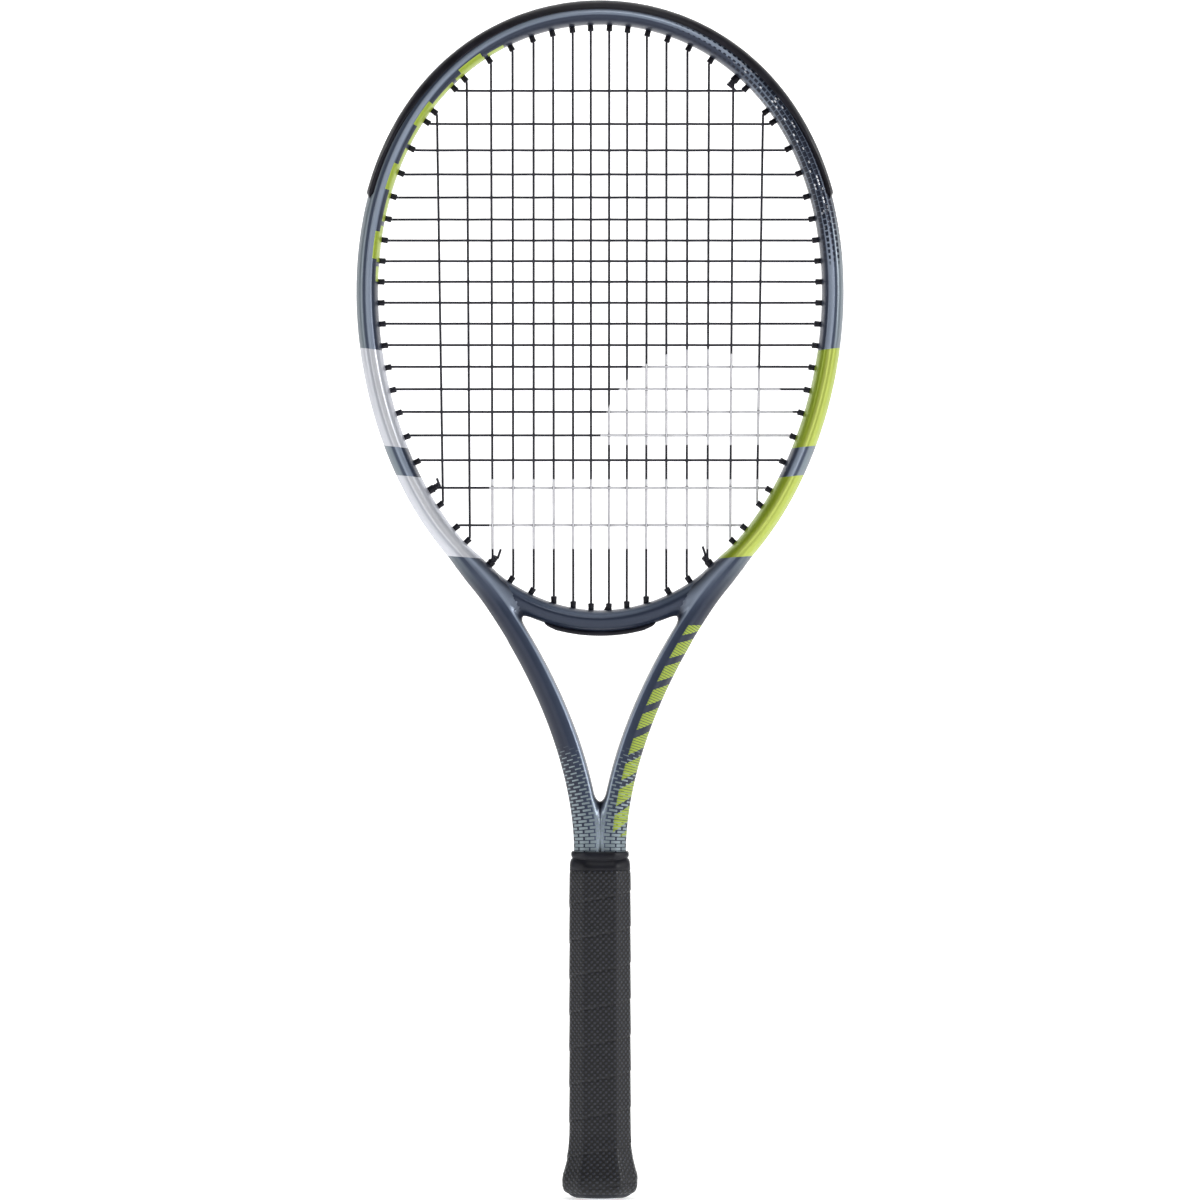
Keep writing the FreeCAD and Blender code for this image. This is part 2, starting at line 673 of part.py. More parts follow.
def butt_cap(tube):
    """Flared cup over the pallet's end, with a shallow seat for the badge in its underside."""
    inside = stack([(PALLET_BOTTOM_Z, PALLET_SIZE), (CAP_TOP_Z + 1, PALLET_SIZE)])
    feet = stack([(SHAFT_BOTTOM_Z, PALLET_SIZE), (PALLET_BOTTOM_Z, PALLET_SIZE)]).common(tube)
    return single(stack(cap_levels()).cut([inside, feet, badge(), grip_tack()] + staples()))


def base_grip():
    """The wound grip strip as one sleeve, over the pallet and the cap's flare, thinner at its top end."""
    outer = [(z, grown(size, FLARE_COVER)) for z, size in cap_levels() if GRIP_BOTTOM_Z < z < 30.0]
    outer.insert(0, (GRIP_BOTTOM_Z, grown(cap_levels()[1][1], FLARE_COVER)))
    outer += [(CAP_TOP_Z + 4, GRIP_SIZE), (GRIP_FULL_TOP_Z, GRIP_SIZE),
              (TAPE_Z[0] - 0.2, GRIP_TOP_SIZE), (GRIP_TOP_Z, GRIP_TOP_SIZE)]
    core = stack([(PALLET_BOTTOM_Z, PALLET_SIZE), (GRIP_TOP_Z + 1, PALLET_SIZE)])
    return single(stack(outer).cut([core, stack(cap_levels()), grip_tack()] + staples()))


def finishing_tape():
    """Turn of tape that closes the grip's top end, under the collar."""
    outer = stack([(z, grown(GRIP_TOP_SIZE, TAPE_THICKNESS)) for z in TAPE_Z])
    return single(outer.cut(stack([(TAPE_Z[0] - 1, GRIP_TOP_SIZE), (TAPE_Z[1] + 1, GRIP_TOP_SIZE)])))


def shaft_sleeve(low, high, gap):
    """The double shaft's outside grown by a gap, as one solid between two heights."""
    stations = half_tube(2, 2, 2)[-1:]
    x, z, nx, nz, width, depth = stations[0]
    sides = []
    for side in (1, -1):
        wires = []
        for level in (low, high):
            place = (side * x, level, side * nx, 0.0, width + 2 * gap, depth + 2.2 * gap)
            wires.append(section_wire(place, TUBE_OUTLINE))
        sides.append(loft(wires))
    middle = Part.makeBox(2 * x, 8.6, high - low, Vector(-x, -4.3, low))
    return sides[0].multiFuse([sides[1], middle])


def grip_collar():
    """Rubber collar: a skirt over the tape and the grip's end, and a lip that hugs the shaft above it."""
    outer = stack([(COLLAR_BOTTOM_Z, COLLAR_BOTTOM_SIZE), (COLLAR_STEP_Z + 1.2, COLLAR_WAIST_SIZE),
                   (COLLAR_STEP_Z + 2.4, COLLAR_TOP_SIZE), (COLLAR_TOP_Z, COLLAR_TOP_SIZE)])
    chamber_size = grown(GRIP_TOP_SIZE, TAPE_THICKNESS + COLLAR_GAP)
    chamber = stack([(COLLAR_BOTTOM_Z - 1, chamber_size), (COLLAR_STEP_Z, chamber_size)])
    return single(outer.cut([chamber, shaft_sleeve(COLLAR_STEP_Z - 1, COLLAR_TOP_Z + 1, COLLAR_GAP)]))


def export(name, shape):
    solids = shape if isinstance(shape, list) else [shape]
    print(name, round(sum(s.Volume for s in solids)), all(s.isValid() for s in solids))
    Part.makeCompound(solids).exportStep("parts/%s.step" % name)


def main():
    os.makedirs("parts", exist_ok=True)
    tube = tube_body()
    export("frame", frame_body(tube))
    export("bumper_guard", bumper_guard(tube))
    export("right_grommet_strip", side_strip(1))
    export("left_grommet_strip", side_strip(-1))
    export("throat_grommet_strip", throat_strip())
    export("main_string", main_string())
    export("cross_string", cross_string())
    export("front_pallet_half", pallet_half(-1, tube))
    export("rear_pallet_half", pallet_half(1, tube))
    export("butt_cap", butt_cap(tube))
    export("butt_badge", badge())
    export("cap_staples", staples())
    export("grip_tack", grip_tack())
    export("base_grip", base_grip())
    export("finishing_tape", finishing_tape())
    export("grip_collar", grip_collar())


main()
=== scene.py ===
"""Looks of a tennis racket around its CAD frame.

Shapes are worked out in millimetres with numpy, as sections carried along a path, and put into meshes in metres.
+Z runs from the butt to the head's top, and -Y is the front face.
"""
import math

import bpy
import numpy as np
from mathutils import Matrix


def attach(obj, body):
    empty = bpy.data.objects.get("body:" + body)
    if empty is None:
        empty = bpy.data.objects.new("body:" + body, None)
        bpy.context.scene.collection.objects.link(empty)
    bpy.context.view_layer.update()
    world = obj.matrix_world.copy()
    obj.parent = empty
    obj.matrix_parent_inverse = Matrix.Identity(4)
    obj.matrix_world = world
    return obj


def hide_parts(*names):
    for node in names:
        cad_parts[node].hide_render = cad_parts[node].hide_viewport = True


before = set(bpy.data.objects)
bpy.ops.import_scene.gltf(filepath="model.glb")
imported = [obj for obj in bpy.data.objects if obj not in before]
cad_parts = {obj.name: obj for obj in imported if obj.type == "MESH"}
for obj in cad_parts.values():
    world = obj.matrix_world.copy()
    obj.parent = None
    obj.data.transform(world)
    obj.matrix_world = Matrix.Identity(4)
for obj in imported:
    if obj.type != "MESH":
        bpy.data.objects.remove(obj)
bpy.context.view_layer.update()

MM = 0.001

# ---- camera: square on to the front face, far away with a long lens ----
FIELD = 0.6862                 # metres across the picture at the racket
CAMERA_AWAY = 5.0
CAMERA_HEIGHT = 0.34165
SENSOR = 36.0
camera = bpy.data.objects.new("camera", bpy.data.cameras.new("camera"))
camera.data.lens = SENSOR * CAMERA_AWAY / FIELD
camera.location = (0, -CAMERA_AWAY, CAMERA_HEIGHT)
camera.rotation_euler = (math.pi / 2, 0, 0)
bpy.context.scene.collection.objects.link(camera)
bpy.context.scene.camera = camera
bpy.context.scene.view_settings.view_transform = "Standard"

# ---- sizes, in millimetres ----
HEAD_CENTRE_Z, HEAD_HALF_HEIGHT, HEAD_HALF_WIDTH = 503.3, 173.6, 132.65
EGG_TAPER, EGG_SQUARE = 0.0797, 0.0359
ARM_ANGLE = math.radians(138.3)
ARM_REACH, SHAFT_REACH = 113.5, 16.3
SHAFT_TOP_Z, SHAFT_BOTTOM_Z, SHAFT_AXIS_X = 200.0, 5.0, 7.4
HEAD_WIDTH, SHAFT_WIDTH, SECTION_DEPTH = 12.6, 15.2, 25.2
TIP_DEPTH, SIDE_DEPTH = 23.0, 25.5
STRING_HEIGHT, BRIDGE_STRING_HEIGHT = 5.35, 7.85
BARREL_MOUTH = -9.9
BUMPER_ANGLE = math.radians(67.5)
BRIDGE_STRIP_ANGLE = math.radians(13.6)
CHANNEL_END_Z = 319.5          # the string channel fades out here, below the shoulders' holes
STRING_RADIUS, STRING_SIDES, WEAVE = 0.70, 8, 0.8
SIDE_STEP, PASS_STEP, BARREL_STEP = 0.8, 0.9, 0.42
MAINS_TOP_X = [5.3, 15.6, 26.8, 38.0, 50.0, 62.3, 76.2, 93.2]
MAINS_LOW_X = [5.1, 15.3, 26.4, 37.9, 49.6, 61.4, 74.4, 89.8]
SHOULDER_LEANS = {3: 31.0, 4: 34.0, 5: 40.0, 6: 46.0, 7: 52.0}
CROSSES_Z = [632.8, 613.8, 598.8, 585.0, 571.8, 559.2, 547.2, 535.4, 523.6, 511.6,
             499.6, 487.4, 475.0, 462.2, 449.2, 435.8, 421.6, 405.8, 384.4]
CROSS_START_MAIN, CROSS_END_ROW, MAIN_END_MAIN = 6, 17, 5
HOLE_SIDES = {("top", 6): -1, ("top", 7): -1, ("row", 0): 1, ("low", 5): -1, ("low", 6): -1, ("low", 7): 1,
              ("row", 17): 1, ("row", 18): -1}
RUN_SIDES = {(("top", 6), ("top", 7)): -1, (("top", 6), ("row", 0)): 1, (("row", 0), ("row", 1)): 1,
             (("low", 5), ("low", 6)): -1, (("low", 7), ("low", 5)): 1, (("row", 17), ("row", 18)): -1}


# ---- meshes ----
def tube_triangles(rows, columns, ring=False):
    """Two triangles for each cell of a grid whose columns close up, and its rows too for a ring."""
    i = np.arange(rows if ring else rows - 1)[:, None]
    j = np.arange(columns)[None, :]
    a, b = i * columns + j, i * columns + (j + 1) % columns
    c, d = (i + 1) % rows * columns + (j + 1) % columns, (i + 1) % rows * columns + j
    return np.concatenate([np.stack([a, b, c], -1).reshape(-1, 3), np.stack([a, c, d], -1).reshape(-1, 3)])


def outward(points, triangles):
    """The triangles turned so that the closed shell has a positive volume, and so faces outwards."""
    v = points[triangles]
    volume = np.einsum("ij,ij->i", v[:, 0], np.cross(v[:, 1], v[:, 2])).sum()
    return triangles if volume > 0 else triangles[:, ::-1]


def shell(rings, ring=False):
    """Closed shell through rings (row, column, xyz), with a fan to the middle of each end ring."""
    rows, columns = rings.shape[:2]
    points, triangles = rings.reshape(-1, 3), tube_triangles(rows, columns, ring)
    if not ring:
        j = np.arange(columns)
        first = np.stack([j, np.full(columns, rows * columns), (j + 1) % columns], -1)
        last = np.stack([j + (rows - 1) * columns, (j + 1) % columns + (rows - 1) * columns,
                         np.full(columns, rows * columns + 1)], -1)
        points = np.concatenate([points, rings[:1].mean(1), rings[-1:].mean(1)])
        triangles = np.concatenate([triangles, first, last])
    return points, outward(points, triangles)


def piece(name, shells, finish, body, nodes, marks=None):
    """One object from several shells, with marks (point attributes), riding on a body in place of nodes."""
    points = np.concatenate([p for p, _ in shells]) * MM
    starts = np.cumsum([0] + [len(p) for p, _ in shells[:-1]])
    triangles = np.concatenate([t + s for (_, t), s in zip(shells, starts)]).astype(np.int32)
    mesh = bpy.data.meshes.new(name)
    mesh.vertices.add(len(points))
    mesh.vertices.foreach_set("co", points.astype(np.float32).ravel())
    mesh.loops.add(triangles.size)
    mesh.loops.foreach_set("vertex_index", triangles.ravel())
    mesh.polygons.add(len(triangles))
    mesh.polygons.foreach_set("loop_start", np.arange(0, triangles.size, 3, dtype=np.int32))
    mesh.update(calc_edges=True)
    mesh.validate()
    mesh.polygons.foreach_set("use_smooth", np.ones(len(mesh.polygons), bool))
    for mark, values in (marks or {}).items():
        attribute = mesh.attributes.new(mark, "FLOAT", "POINT")
        attribute.data.foreach_set("value", values.astype(np.float32).ravel())
    mesh.materials.append(finish)
    made = bpy.data.objects.new(name, mesh)
    bpy.context.scene.collection.objects.link(made)
    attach(made, body)
    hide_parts(*nodes)


# ---- paths ----
def ease(share):
    """Smooth step 3 s^2 - 2 s^3, held at 0 and 1 outside its range."""
    share = np.clip(share, 0.0, 1.0)
    return share * share * (3 - 2 * share)


def head_line(angle):
    """Egg: x = A sin t (1 + taper cos t + square cos^2 t) and z = centre + B cos t, with t from the top."""
    c = np.cos(angle)
    x = HEAD_HALF_WIDTH * np.sin(angle) * (1 + EGG_TAPER * c + EGG_SQUARE * c * c)
    return x, HEAD_CENTRE_Z + HEAD_HALF_HEIGHT * c


def arm_line(share):
    """Cubic Bezier that leaves the head along its tangent and comes down on to the shaft."""
    (x0, z0), (x1, z1) = head_line(ARM_ANGLE), head_line(ARM_ANGLE + 1e-4)
    length = math.hypot(x1 - x0, z1 - z0)
    corners = [(x0, z0), (x0 + ARM_REACH * (x1 - x0) / length, z0 + ARM_REACH * (z1 - z0) / length),
               (SHAFT_AXIS_X, SHAFT_TOP_Z + SHAFT_REACH), (SHAFT_AXIS_X, SHAFT_TOP_Z)]
    rest = 1 - share
    weights = [rest ** 3, 3 * rest ** 2 * share, 3 * rest * share ** 2, share ** 3]
    return tuple(sum(w * corner[k] for w, corner in zip(weights, corners)) for k in (0, 1))


def head_depth(angle):
    """The tube's depth, least at the head's top and eased to its greatest from 20 to 80 degrees."""
    return TIP_DEPTH + (SIDE_DEPTH - TIP_DEPTH) * ease((np.abs(angle) - math.radians(20)) / math.radians(60))


def path_of(x, z, width, depth):
    """Path as arrays: place, unit tangent, outward normal (-dz, dx), section width and depth, length run."""
    steps = np.hypot(np.diff(x), np.diff(z))
    run = np.concatenate([[0], np.cumsum(steps)])
    dx, dz = np.gradient(x, run), np.gradient(z, run)
    length = np.hypot(dx, dz)
    return {"x": x, "z": z, "tx": dx / length, "tz": dz / length, "nx": -dz / length, "nz": dx / length,
            "width": width + 0 * x, "depth": depth + 0 * x, "run": run}


def right_path(head_steps, arm_steps, shaft_steps):
    """The right half of the bent tube, from the head's top to the butt."""
    angle = np.linspace(0, ARM_ANGLE, head_steps + 1)
    share = np.linspace(0, 1, arm_steps + 1)[1:]
    down = np.linspace(0, 1, shaft_steps + 1)[1:]
    hx, hz = head_line(angle)
    ax, az = arm_line(share)
    x = np.concatenate([hx, ax, np.full(shaft_steps, SHAFT_AXIS_X)])
    z = np.concatenate([hz, az, SHAFT_TOP_Z + down * (SHAFT_BOTTOM_Z - SHAFT_TOP_Z)])
    thinning, widening = ease((share - 0.2) / 0.8), ease(share / 0.9)
    depth = np.concatenate([head_depth(angle), SIDE_DEPTH + (TIP_DEPTH - SIDE_DEPTH) * thinning,
                            np.full(shaft_steps, TIP_DEPTH)])
    width = np.concatenate([np.full(len(angle), HEAD_WIDTH), HEAD_WIDTH + (SHAFT_WIDTH - HEAD_WIDTH) * widening,
                            np.full(shaft_steps, SHAFT_WIDTH)])
    path = path_of(x, z, width, depth)
    path["nx"][0], path["nz"][0] = 0.0, 1.0
    path["tx"][0], path["tz"][0] = 1.0, 0.0
    return path


def head_path(low, high, count):
    """Part of the head's line, between two angles."""
    angle = np.linspace(low, high, count)
    return path_of(*head_line(angle), HEAD_WIDTH, head_depth(angle))


def lifted(path, out, y):
    """Points at heights out above the path and at y: arrays (station, around, xyz)."""
    x = path["x"][:, None] + path["nx"][:, None] * out
    z = path["z"][:, None] + path["nz"][:, None] * out
    return np.stack([x, np.broadcast_to(y, x.shape), z], -1)


def directions(path, out, y):
    """The same without the path's own place: directions out and y of each station, as xyz."""
    return lifted({**path, "x": 0 * path["x"], "z": 0 * path["z"]}, out, y)


# ---- tube section: one loop of points, each with its band round the section ----
# Corners of half of each section, from the inner wall over the face to the outer wall: height out of the head's
# line and distance from the middle plane. STEPS is how many points lead to the next corner, and BANDS the number of
# the band that each corner ends: 1 inner wall, 2 inner flank, 3 ridge, 4 groove, 5 outer flank, 6 outer wall.
HOOP = [(-6.3, 0), (-6.3, 4.0), (-4.7, 9.0), (-2.5, 12.0), (0.1, 12.55), (1.1, 11.75), (2.4, 11.7), (4.3, 10.1),
        (6.3, 5.2), (6.3, 4.7), (6.3, 2.4), (6.3, 0)]
ARM = [(-6.3, 0), (-6.3, 4.0), (-6.0, 7.6), (-5.3, 10.3), (-4.2, 11.3), (-1.9, 12.0), (0.2, 12.3), (3.6, 9.8),
       (6.3, 5.2), (6.3, 4.7), (6.3, 2.4), (6.3, 0)]
BRIDGE = [(-6.3, 0), (-6.3, 3.6), (-5.0, 7.6), (-2.0, 10.5), (-0.6, 10.85), (0.9, 10.6), (2.4, 9.9), (4.6, 8.2),
          (6.3, 4.6), (6.3, 4.0), (6.3, 2.4), (6.3, 0)]
CHANNEL_DEPTH = 2.8            # the last two corners sink by this where the strings run in their channel
STEPS = [3, 4, 5, 4, 3, 3, 4, 4, 1, 2, 4]
BANDS = [0, 1, 1.5, 2, 3, 3.5, 4, 4.5, 5, 5.2, 5.6, 6]


def half_line(corners):
    """Points along a row of corners, with STEPS[k] equal steps from corner k to the next."""
    knots = np.concatenate([[0], np.cumsum(STEPS)])
    at = np.arange(knots[-1] + 1)
    return np.stack([np.interp(at, knots, values) for values in np.array(corners, float).T], -1)


def softened(loop, passes):
    """A closed loop with each point averaged with its neighbours: p/2 + (before + after)/4, several times."""
    for _ in range(passes):
        loop = 0.5 * loop + 0.25 * (np.roll(loop, 1, 0) + np.roll(loop, -1, 0))
    return loop


def section(corners, passes=2):
    """Closed loop: the half line and its mirror image in y, softened."""
    half = half_line(corners)
    return softened(np.concatenate([half, (half * [1, -1])[-2:0:-1]]), passes)


HOOP_LOOP, ARM_LOOP, BRIDGE_LOOP = section(HOOP), section(ARM), section(BRIDGE)
BRIDGE_START_LOOP = 0.93 * HOOP_LOOP       # the bridge starts as a hoop that is lost inside the tube
BRIDGE_RUN = 420.0                         # distances along the bridge start here, past the head's patterns
SUNK = HOOP[:-2] + [(out - CHANNEL_DEPTH, y) for out, y in HOOP[-2:]]
CHANNEL_LOOP = section(SUNK, 1) - section(HOOP, 1)
HALF_BANDS = half_line([(band,) for band in BANDS])[:, 0]
BAND_LOOP = np.concatenate([HALF_BANDS, HALF_BANDS[-2:0:-1]])
CHUNK = 4000                               # points worked on at a time, to save memory


def blend_distance(out, y, first, second, share):
    """Signed distance from points to the loop first + share (second - first), negative inside."""
    result = np.empty(len(out))
    for start in range(0, len(out), CHUNK):
        part = slice(start, start + CHUNK)
        loop = first + share[part, None, None] * (second - first)
        result[part] = polygon_distance(out[part], y[part], loop)
    return result


def polygon_distance(out, y, loop):
    """Signed distance to closed polygons: edge distances for the size, and ray crossings for the sign."""
    ax, ay = loop[..., 0], loop[..., 1]
    bx, by = np.roll(ax, -1, -1), np.roll(ay, -1, -1)
    ex, ey = bx - ax, by - ay
    px, py = out[:, None] - ax, y[:, None] - ay
    along = np.clip((px * ex + py * ey) / (ex * ex + ey * ey), 0, 1)
    distance = np.sqrt(((px - along * ex) ** 2 + (py - along * ey) ** 2).min(-1))
    crosses = ((ay > y[:, None]) != (by > y[:, None])) & (px < ex * py / np.where(ey == 0, 1e-9, ey))
    return np.where(crosses.sum(-1) % 2 == 1, -distance, distance)


# the hoop's section turns into the arm's over 70 mm below the shoulder, and into the bridge's over 9 degrees
RIGHT = right_path(330, 190, 12)
RIGHT["shape"] = ease((392.0 - RIGHT["z"]) / 70.0)
BRIDGE_ANGLES = np.linspace(math.radians(135), math.pi, 104)
BRIDGE_PATH = path_of(*head_line(BRIDGE_ANGLES), HEAD_WIDTH, SECTION_DEPTH)
BRIDGE_PATH["share"] = ease((BRIDGE_ANGLES - math.radians(136.0)) / math.radians(9.0))
BRIDGE_PATH["nx"][-1], BRIDGE_PATH["nz"][-1] = 0.0, -1.0
NEAR = (RIGHT["z"] < 450) & (RIGHT["z"] > 170)     # the stations that can touch the other tube or the bridge
FILLET_Z = 188.0, 425.0                            # the rings between these heights are filleted
FORK_REACH = ([196.0, 206.0, 226.0, 240.0, 260.0], [2.0, 6.0, 10.0, 4.0, 2.5])     # heights, fillet's reach


def nearest(path, picked, x, z):
    """For points, the nearest station of a path, and their height above it."""
    px, pz = path["x"][picked], path["z"][picked]
    best = np.empty(len(x), int)
    for start in range(0, len(x), CHUNK):
        part = slice(start, start + CHUNK)
        best[part] = ((x[part, None] - px) ** 2 + (z[part, None] - pz) ** 2).argmin(1)
    best = np.flatnonzero(picked)[best]
    return best, (x - path["x"][best]) * path["nx"][best] + (z - path["z"][best]) * path["nz"][best]


def tube_distance(points, side):
    """Distance to the right (side 1) or left tube."""
    k, out = nearest(RIGHT, NEAR, points[:, 0] * side, points[:, 2])
    wide, deep = RIGHT["width"][k] / HEAD_WIDTH, RIGHT["depth"][k] / SECTION_DEPTH
    return blend_distance(out / wide, points[:, 1] / deep, HOOP_LOOP, ARM_LOOP, RIGHT["shape"][k]) * wide


def bridge_distance(points):
    """Distance to the bridge, past its end too, and the reach of its fillet: 6.5 mm, but 0.3 mm at its ends."""
    x, z = np.abs(points[:, 0]), points[:, 2]
    k, out = nearest(BRIDGE_PATH, np.ones(len(BRIDGE_ANGLES), bool), x, z)
    past = (x - BRIDGE_PATH["x"][k]) * BRIDGE_PATH["tx"][k] + (z - BRIDGE_PATH["z"][k]) * BRIDGE_PATH["tz"][k]
    distance = blend_distance(out, points[:, 1], BRIDGE_START_LOOP, BRIDGE_LOOP, BRIDGE_PATH["share"][k])
    reach = 0.3 + 6.2 * ease((BRIDGE_ANGLES[k] - math.radians(138.5)) / 0.16)
    return distance + np.where(k == 0, np.abs(past), 0.0), reach


def soft_least(a, b, reach):
    """Smooth minimum: the lesser of two distances, less (reach - |a - b|)^2 / (4 reach) where close."""
    close = np.maximum(reach - np.abs(a - b), 0.0)
    return np.minimum(a, b) - close * close / (4 * reach)


def moulding_distance(points):
    """Distance to the whole moulding, with fillets where the tubes and the bridge run together."""
    both = soft_least(tube_distance(points, 1), tube_distance(points, -1), np.interp(points[:, 2], *FORK_REACH))
    return soft_least(both, *bridge_distance(points))


def filleted(points, normals, own, sink=0.0, most=5.5):
    """Points moved along their normals until the moulding's distance is what their own tube's was, less sink.

    Six secant steps of at most 1.5 mm. Nothing moves past the middle plane, nor further than most, and what is
    more than 4 mm inside another tube stays where it is.
    """
    height = np.zeros(len(points))
    value = moulding_distance(points) - own + sink
    hidden = value < -4.0
    middle = np.where(normals[:, 0] < -0.05, points[:, 0] / np.maximum(-normals[:, 0], 0.05), most)
    slope = np.ones(len(points))
    for _ in range(6):
        step = np.clip(-value / slope, -1.5, 1.5)
        step = np.minimum(height + step, np.minimum(middle, most)) - height
        step[hidden] = 0.0
        fresh = moulding_distance(points + (height + step)[:, None] * normals) - own + sink
        moved = np.abs(step) > 1e-4
        slope[moved] = np.clip((fresh - value)[moved] / step[moved], 0.35, 1.3)
        height, value = height + step, fresh
    return points + np.where((value < 0.05) & (height > -2.0), height, 0.0)[:, None] * normals


def loop_normals(loop):
    """Unit normals of a loop, from the direction between each point's neighbours."""
    d = np.roll(loop, -1, 0) - np.roll(loop, 1, 0)
    n = np.stack([-d[:, 1], d[:, 0]], -1)
    return n / np.linalg.norm(n, axis=1, keepdims=True)


def tube_rings():
    """Right tube: the loop hoop + shape (arm - hoop) + channel, scaled by width and depth, along the path."""
    shape = RIGHT["shape"][:, None, None]
    channel = ease((RIGHT["z"] - CHANNEL_END_Z) / 5.0)[:, None, None]
    loops = HOOP_LOOP + shape * (ARM_LOOP - HOOP_LOOP) + channel * CHANNEL_LOOP
    wide, deep = RIGHT["width"][:, None] / HEAD_WIDTH, RIGHT["depth"][:, None] / SECTION_DEPTH
    rings = lifted(RIGHT, loops[..., 0] * wide, loops[..., 1] * deep)
    flat = loop_normals(HOOP_LOOP) + shape * (loop_normals(ARM_LOOP) - loop_normals(HOOP_LOOP))
    normals = directions(RIGHT, flat[..., 0], flat[..., 1])
    normals /= np.linalg.norm(normals, axis=-1, keepdims=True)
    rows = (RIGHT["z"] > FILLET_Z[0]) & (RIGHT["z"] < FILLET_Z[1])
    points, aim = rings[rows].reshape(-1, 3), normals[rows].reshape(-1, 3)
    inside = np.minimum(tube_distance(points, 1), 0.0)
    rings[rows] = filleted(points, aim, inside).reshape(rings[rows].shape)
    above_grip = RIGHT["z"] > FILLET_Z[0]
    rings[above_grip, :, 0] = np.maximum(rings[above_grip, :, 0], 0.0)
    return rings


def bridge_rings():
    """Right half of the bridge, from inside the tube to the middle, sunk a hair below the fillets.

    Where it starts, its outer side stays under the tube's channel floor: 3 mm + 0.02 (degrees past)^2.
    """
    loops = BRIDGE_START_LOOP + BRIDGE_PATH["share"][:, None, None] * (BRIDGE_LOOP - BRIDGE_START_LOOP)
    past = np.degrees(np.maximum(BRIDGE_ANGLES - ARM_ANGLE, 0.0))[:, None]
    rings = lifted(BRIDGE_PATH, np.minimum(loops[..., 0], 3.0 + 0.02 * past ** 2), loops[..., 1])
    flat = np.broadcast_to(loop_normals(BRIDGE_LOOP), loops.shape)
    normals = directions(BRIDGE_PATH, flat[..., 0], flat[..., 1])
    points = rings.reshape(-1, 3)
    rings = filleted(points, normals.reshape(-1, 3), np.zeros(len(points)), sink=0.12).reshape(rings.shape)
    rings[-1, :, 0] = 0.0
    return rings


def both_sides(rings):
    """The mirror image of one half's rings, backwards, and then its rings from the middle on."""
    return np.concatenate([rings[::-1] * [-1, 1, 1], rings[1:]])


# ---- string holes ----
SAMPLES = right_path(900, 500, 2)
UNDER = head_path(math.radians(143), math.pi, 300)


def make_hole(target, coordinate, low, high, lean=None, through_bridge=False):
    """A hole: its mouth, where the line inside the head has the given x or z, its direction and outer end."""
    angle = np.linspace(math.radians(low), math.radians(high), 4000)
    x, z = head_line(angle)
    line = path_of(x, z, 0, 0)
    mouths = np.stack([x + line["nx"] * BARREL_MOUTH, z + line["nz"] * BARREL_MOUTH])
    k = np.abs(mouths[coordinate] - target).argmin()
    mouth, direction = mouths[:, k], np.array([line["nx"][k], line["nz"][k]])
    if lean is not None:
        direction = np.array([math.sin(math.radians(lean)), -math.cos(math.radians(lean))])
    samples, height = (UNDER, BRIDGE_STRING_HEIGHT) if through_bridge else (SAMPLES, STRING_HEIGHT)
    gap = np.stack([samples[a] + samples["n" + a] * height for a in "xz"]) - mouth[:, None]
    along = direction @ gap
    off = np.abs(gap[0] * direction[1] - gap[1] * direction[0]) + np.where((along > 2) & (along < 60), 0, 1e6)
    k = off.argmin()
    return {"mouth": mouth, "direction": direction, "station": k, "outside": mouth + gap[:, k],
            "bridge": through_bridge, "height": height}


HOLES = {("top", k): make_hole(x, 0, 0, 60) for k, x in enumerate(MAINS_TOP_X)}
for k, x in enumerate(MAINS_LOW_X):
    lean = SHOULDER_LEANS.get(k, 0.0)
    HOLES["low", k] = make_hole(x, 0, 120, 180, lean, k not in SHOULDER_LEANS)
for row, z in enumerate(CROSSES_Z):
    HOLES["row", row] = make_hole(z, 1, 10, 160)


def is_wide(key, side):
    """Whether a hole holds the end of a string besides the string that runs through it."""
    return (key, side) in [(("top", CROSS_START_MAIN), 1), (("row", CROSS_END_ROW), -1),
                           (("low", MAIN_END_MAIN), 1), (("low", MAIN_END_MAIN), -1)]


# a barrel's outline from the bottom of its bore, over its mouth and back into the frame: (depth, radius)
BARREL = [(2.6, 0.02), (2.6, 0.85), (0.25, 0.9), (0.0, 1.1), (0.0, 1.4), (0.12, 1.6), (0.45, 1.74), (1.0, 1.7),
          (2.4, 1.6), (6.2, 1.62), (6.2, 0.02)]
BARREL_SIDES, WIDE_BARREL = 20, 1.35


def barrels(keys, sides):
    """A small lathe turning of the barrel's outline about each hole's line, from the mouth outwards."""
    outline = np.array(BARREL)
    turn = np.linspace(0, 2 * math.pi, BARREL_SIDES, endpoint=False)
    shells = []
    for key in keys:
        hole = HOLES[key]
        for side in sides:
            axis = np.array([side * hole["direction"][0], 0, hole["direction"][1]])
            across = np.array([-axis[2], 0, axis[0]])
            radii = outline[:, 1, None] * (WIDE_BARREL if is_wide(key, side) else 1.0)
            around = np.cos(turn)[:, None] * across + np.sin(turn)[:, None] * np.array([0, 1, 0])
            mouth = np.array([side * hole["mouth"][0], 0, hole["mouth"][1]])
            shells.append(shell(mouth + outline[:, 0, None, None] * axis + radii[..., None] * around))
    return shells


# ---- strings ----
def hole_points(key, side, y):
    """The two ends of a hole's line, at y."""
    hole = HOLES[key]
    return ([side * hole["mouth"][0], y, hole["mouth"][1]], [side * hole["outside"][0], y, hole["outside"][1]])


def place_in_hole(key, side):
    """How far off the middle plane a string runs in a hole, to make room or to meet its channel run."""
    return HOLE_SIDES.get(key, 0) * (SIDE_STEP if is_wide(key, side) else BARREL_STEP)


def run_ends(key, side):
    """Both ends of the run of a string through a hole."""
    return hole_points(key, side, place_in_hole(key, side))


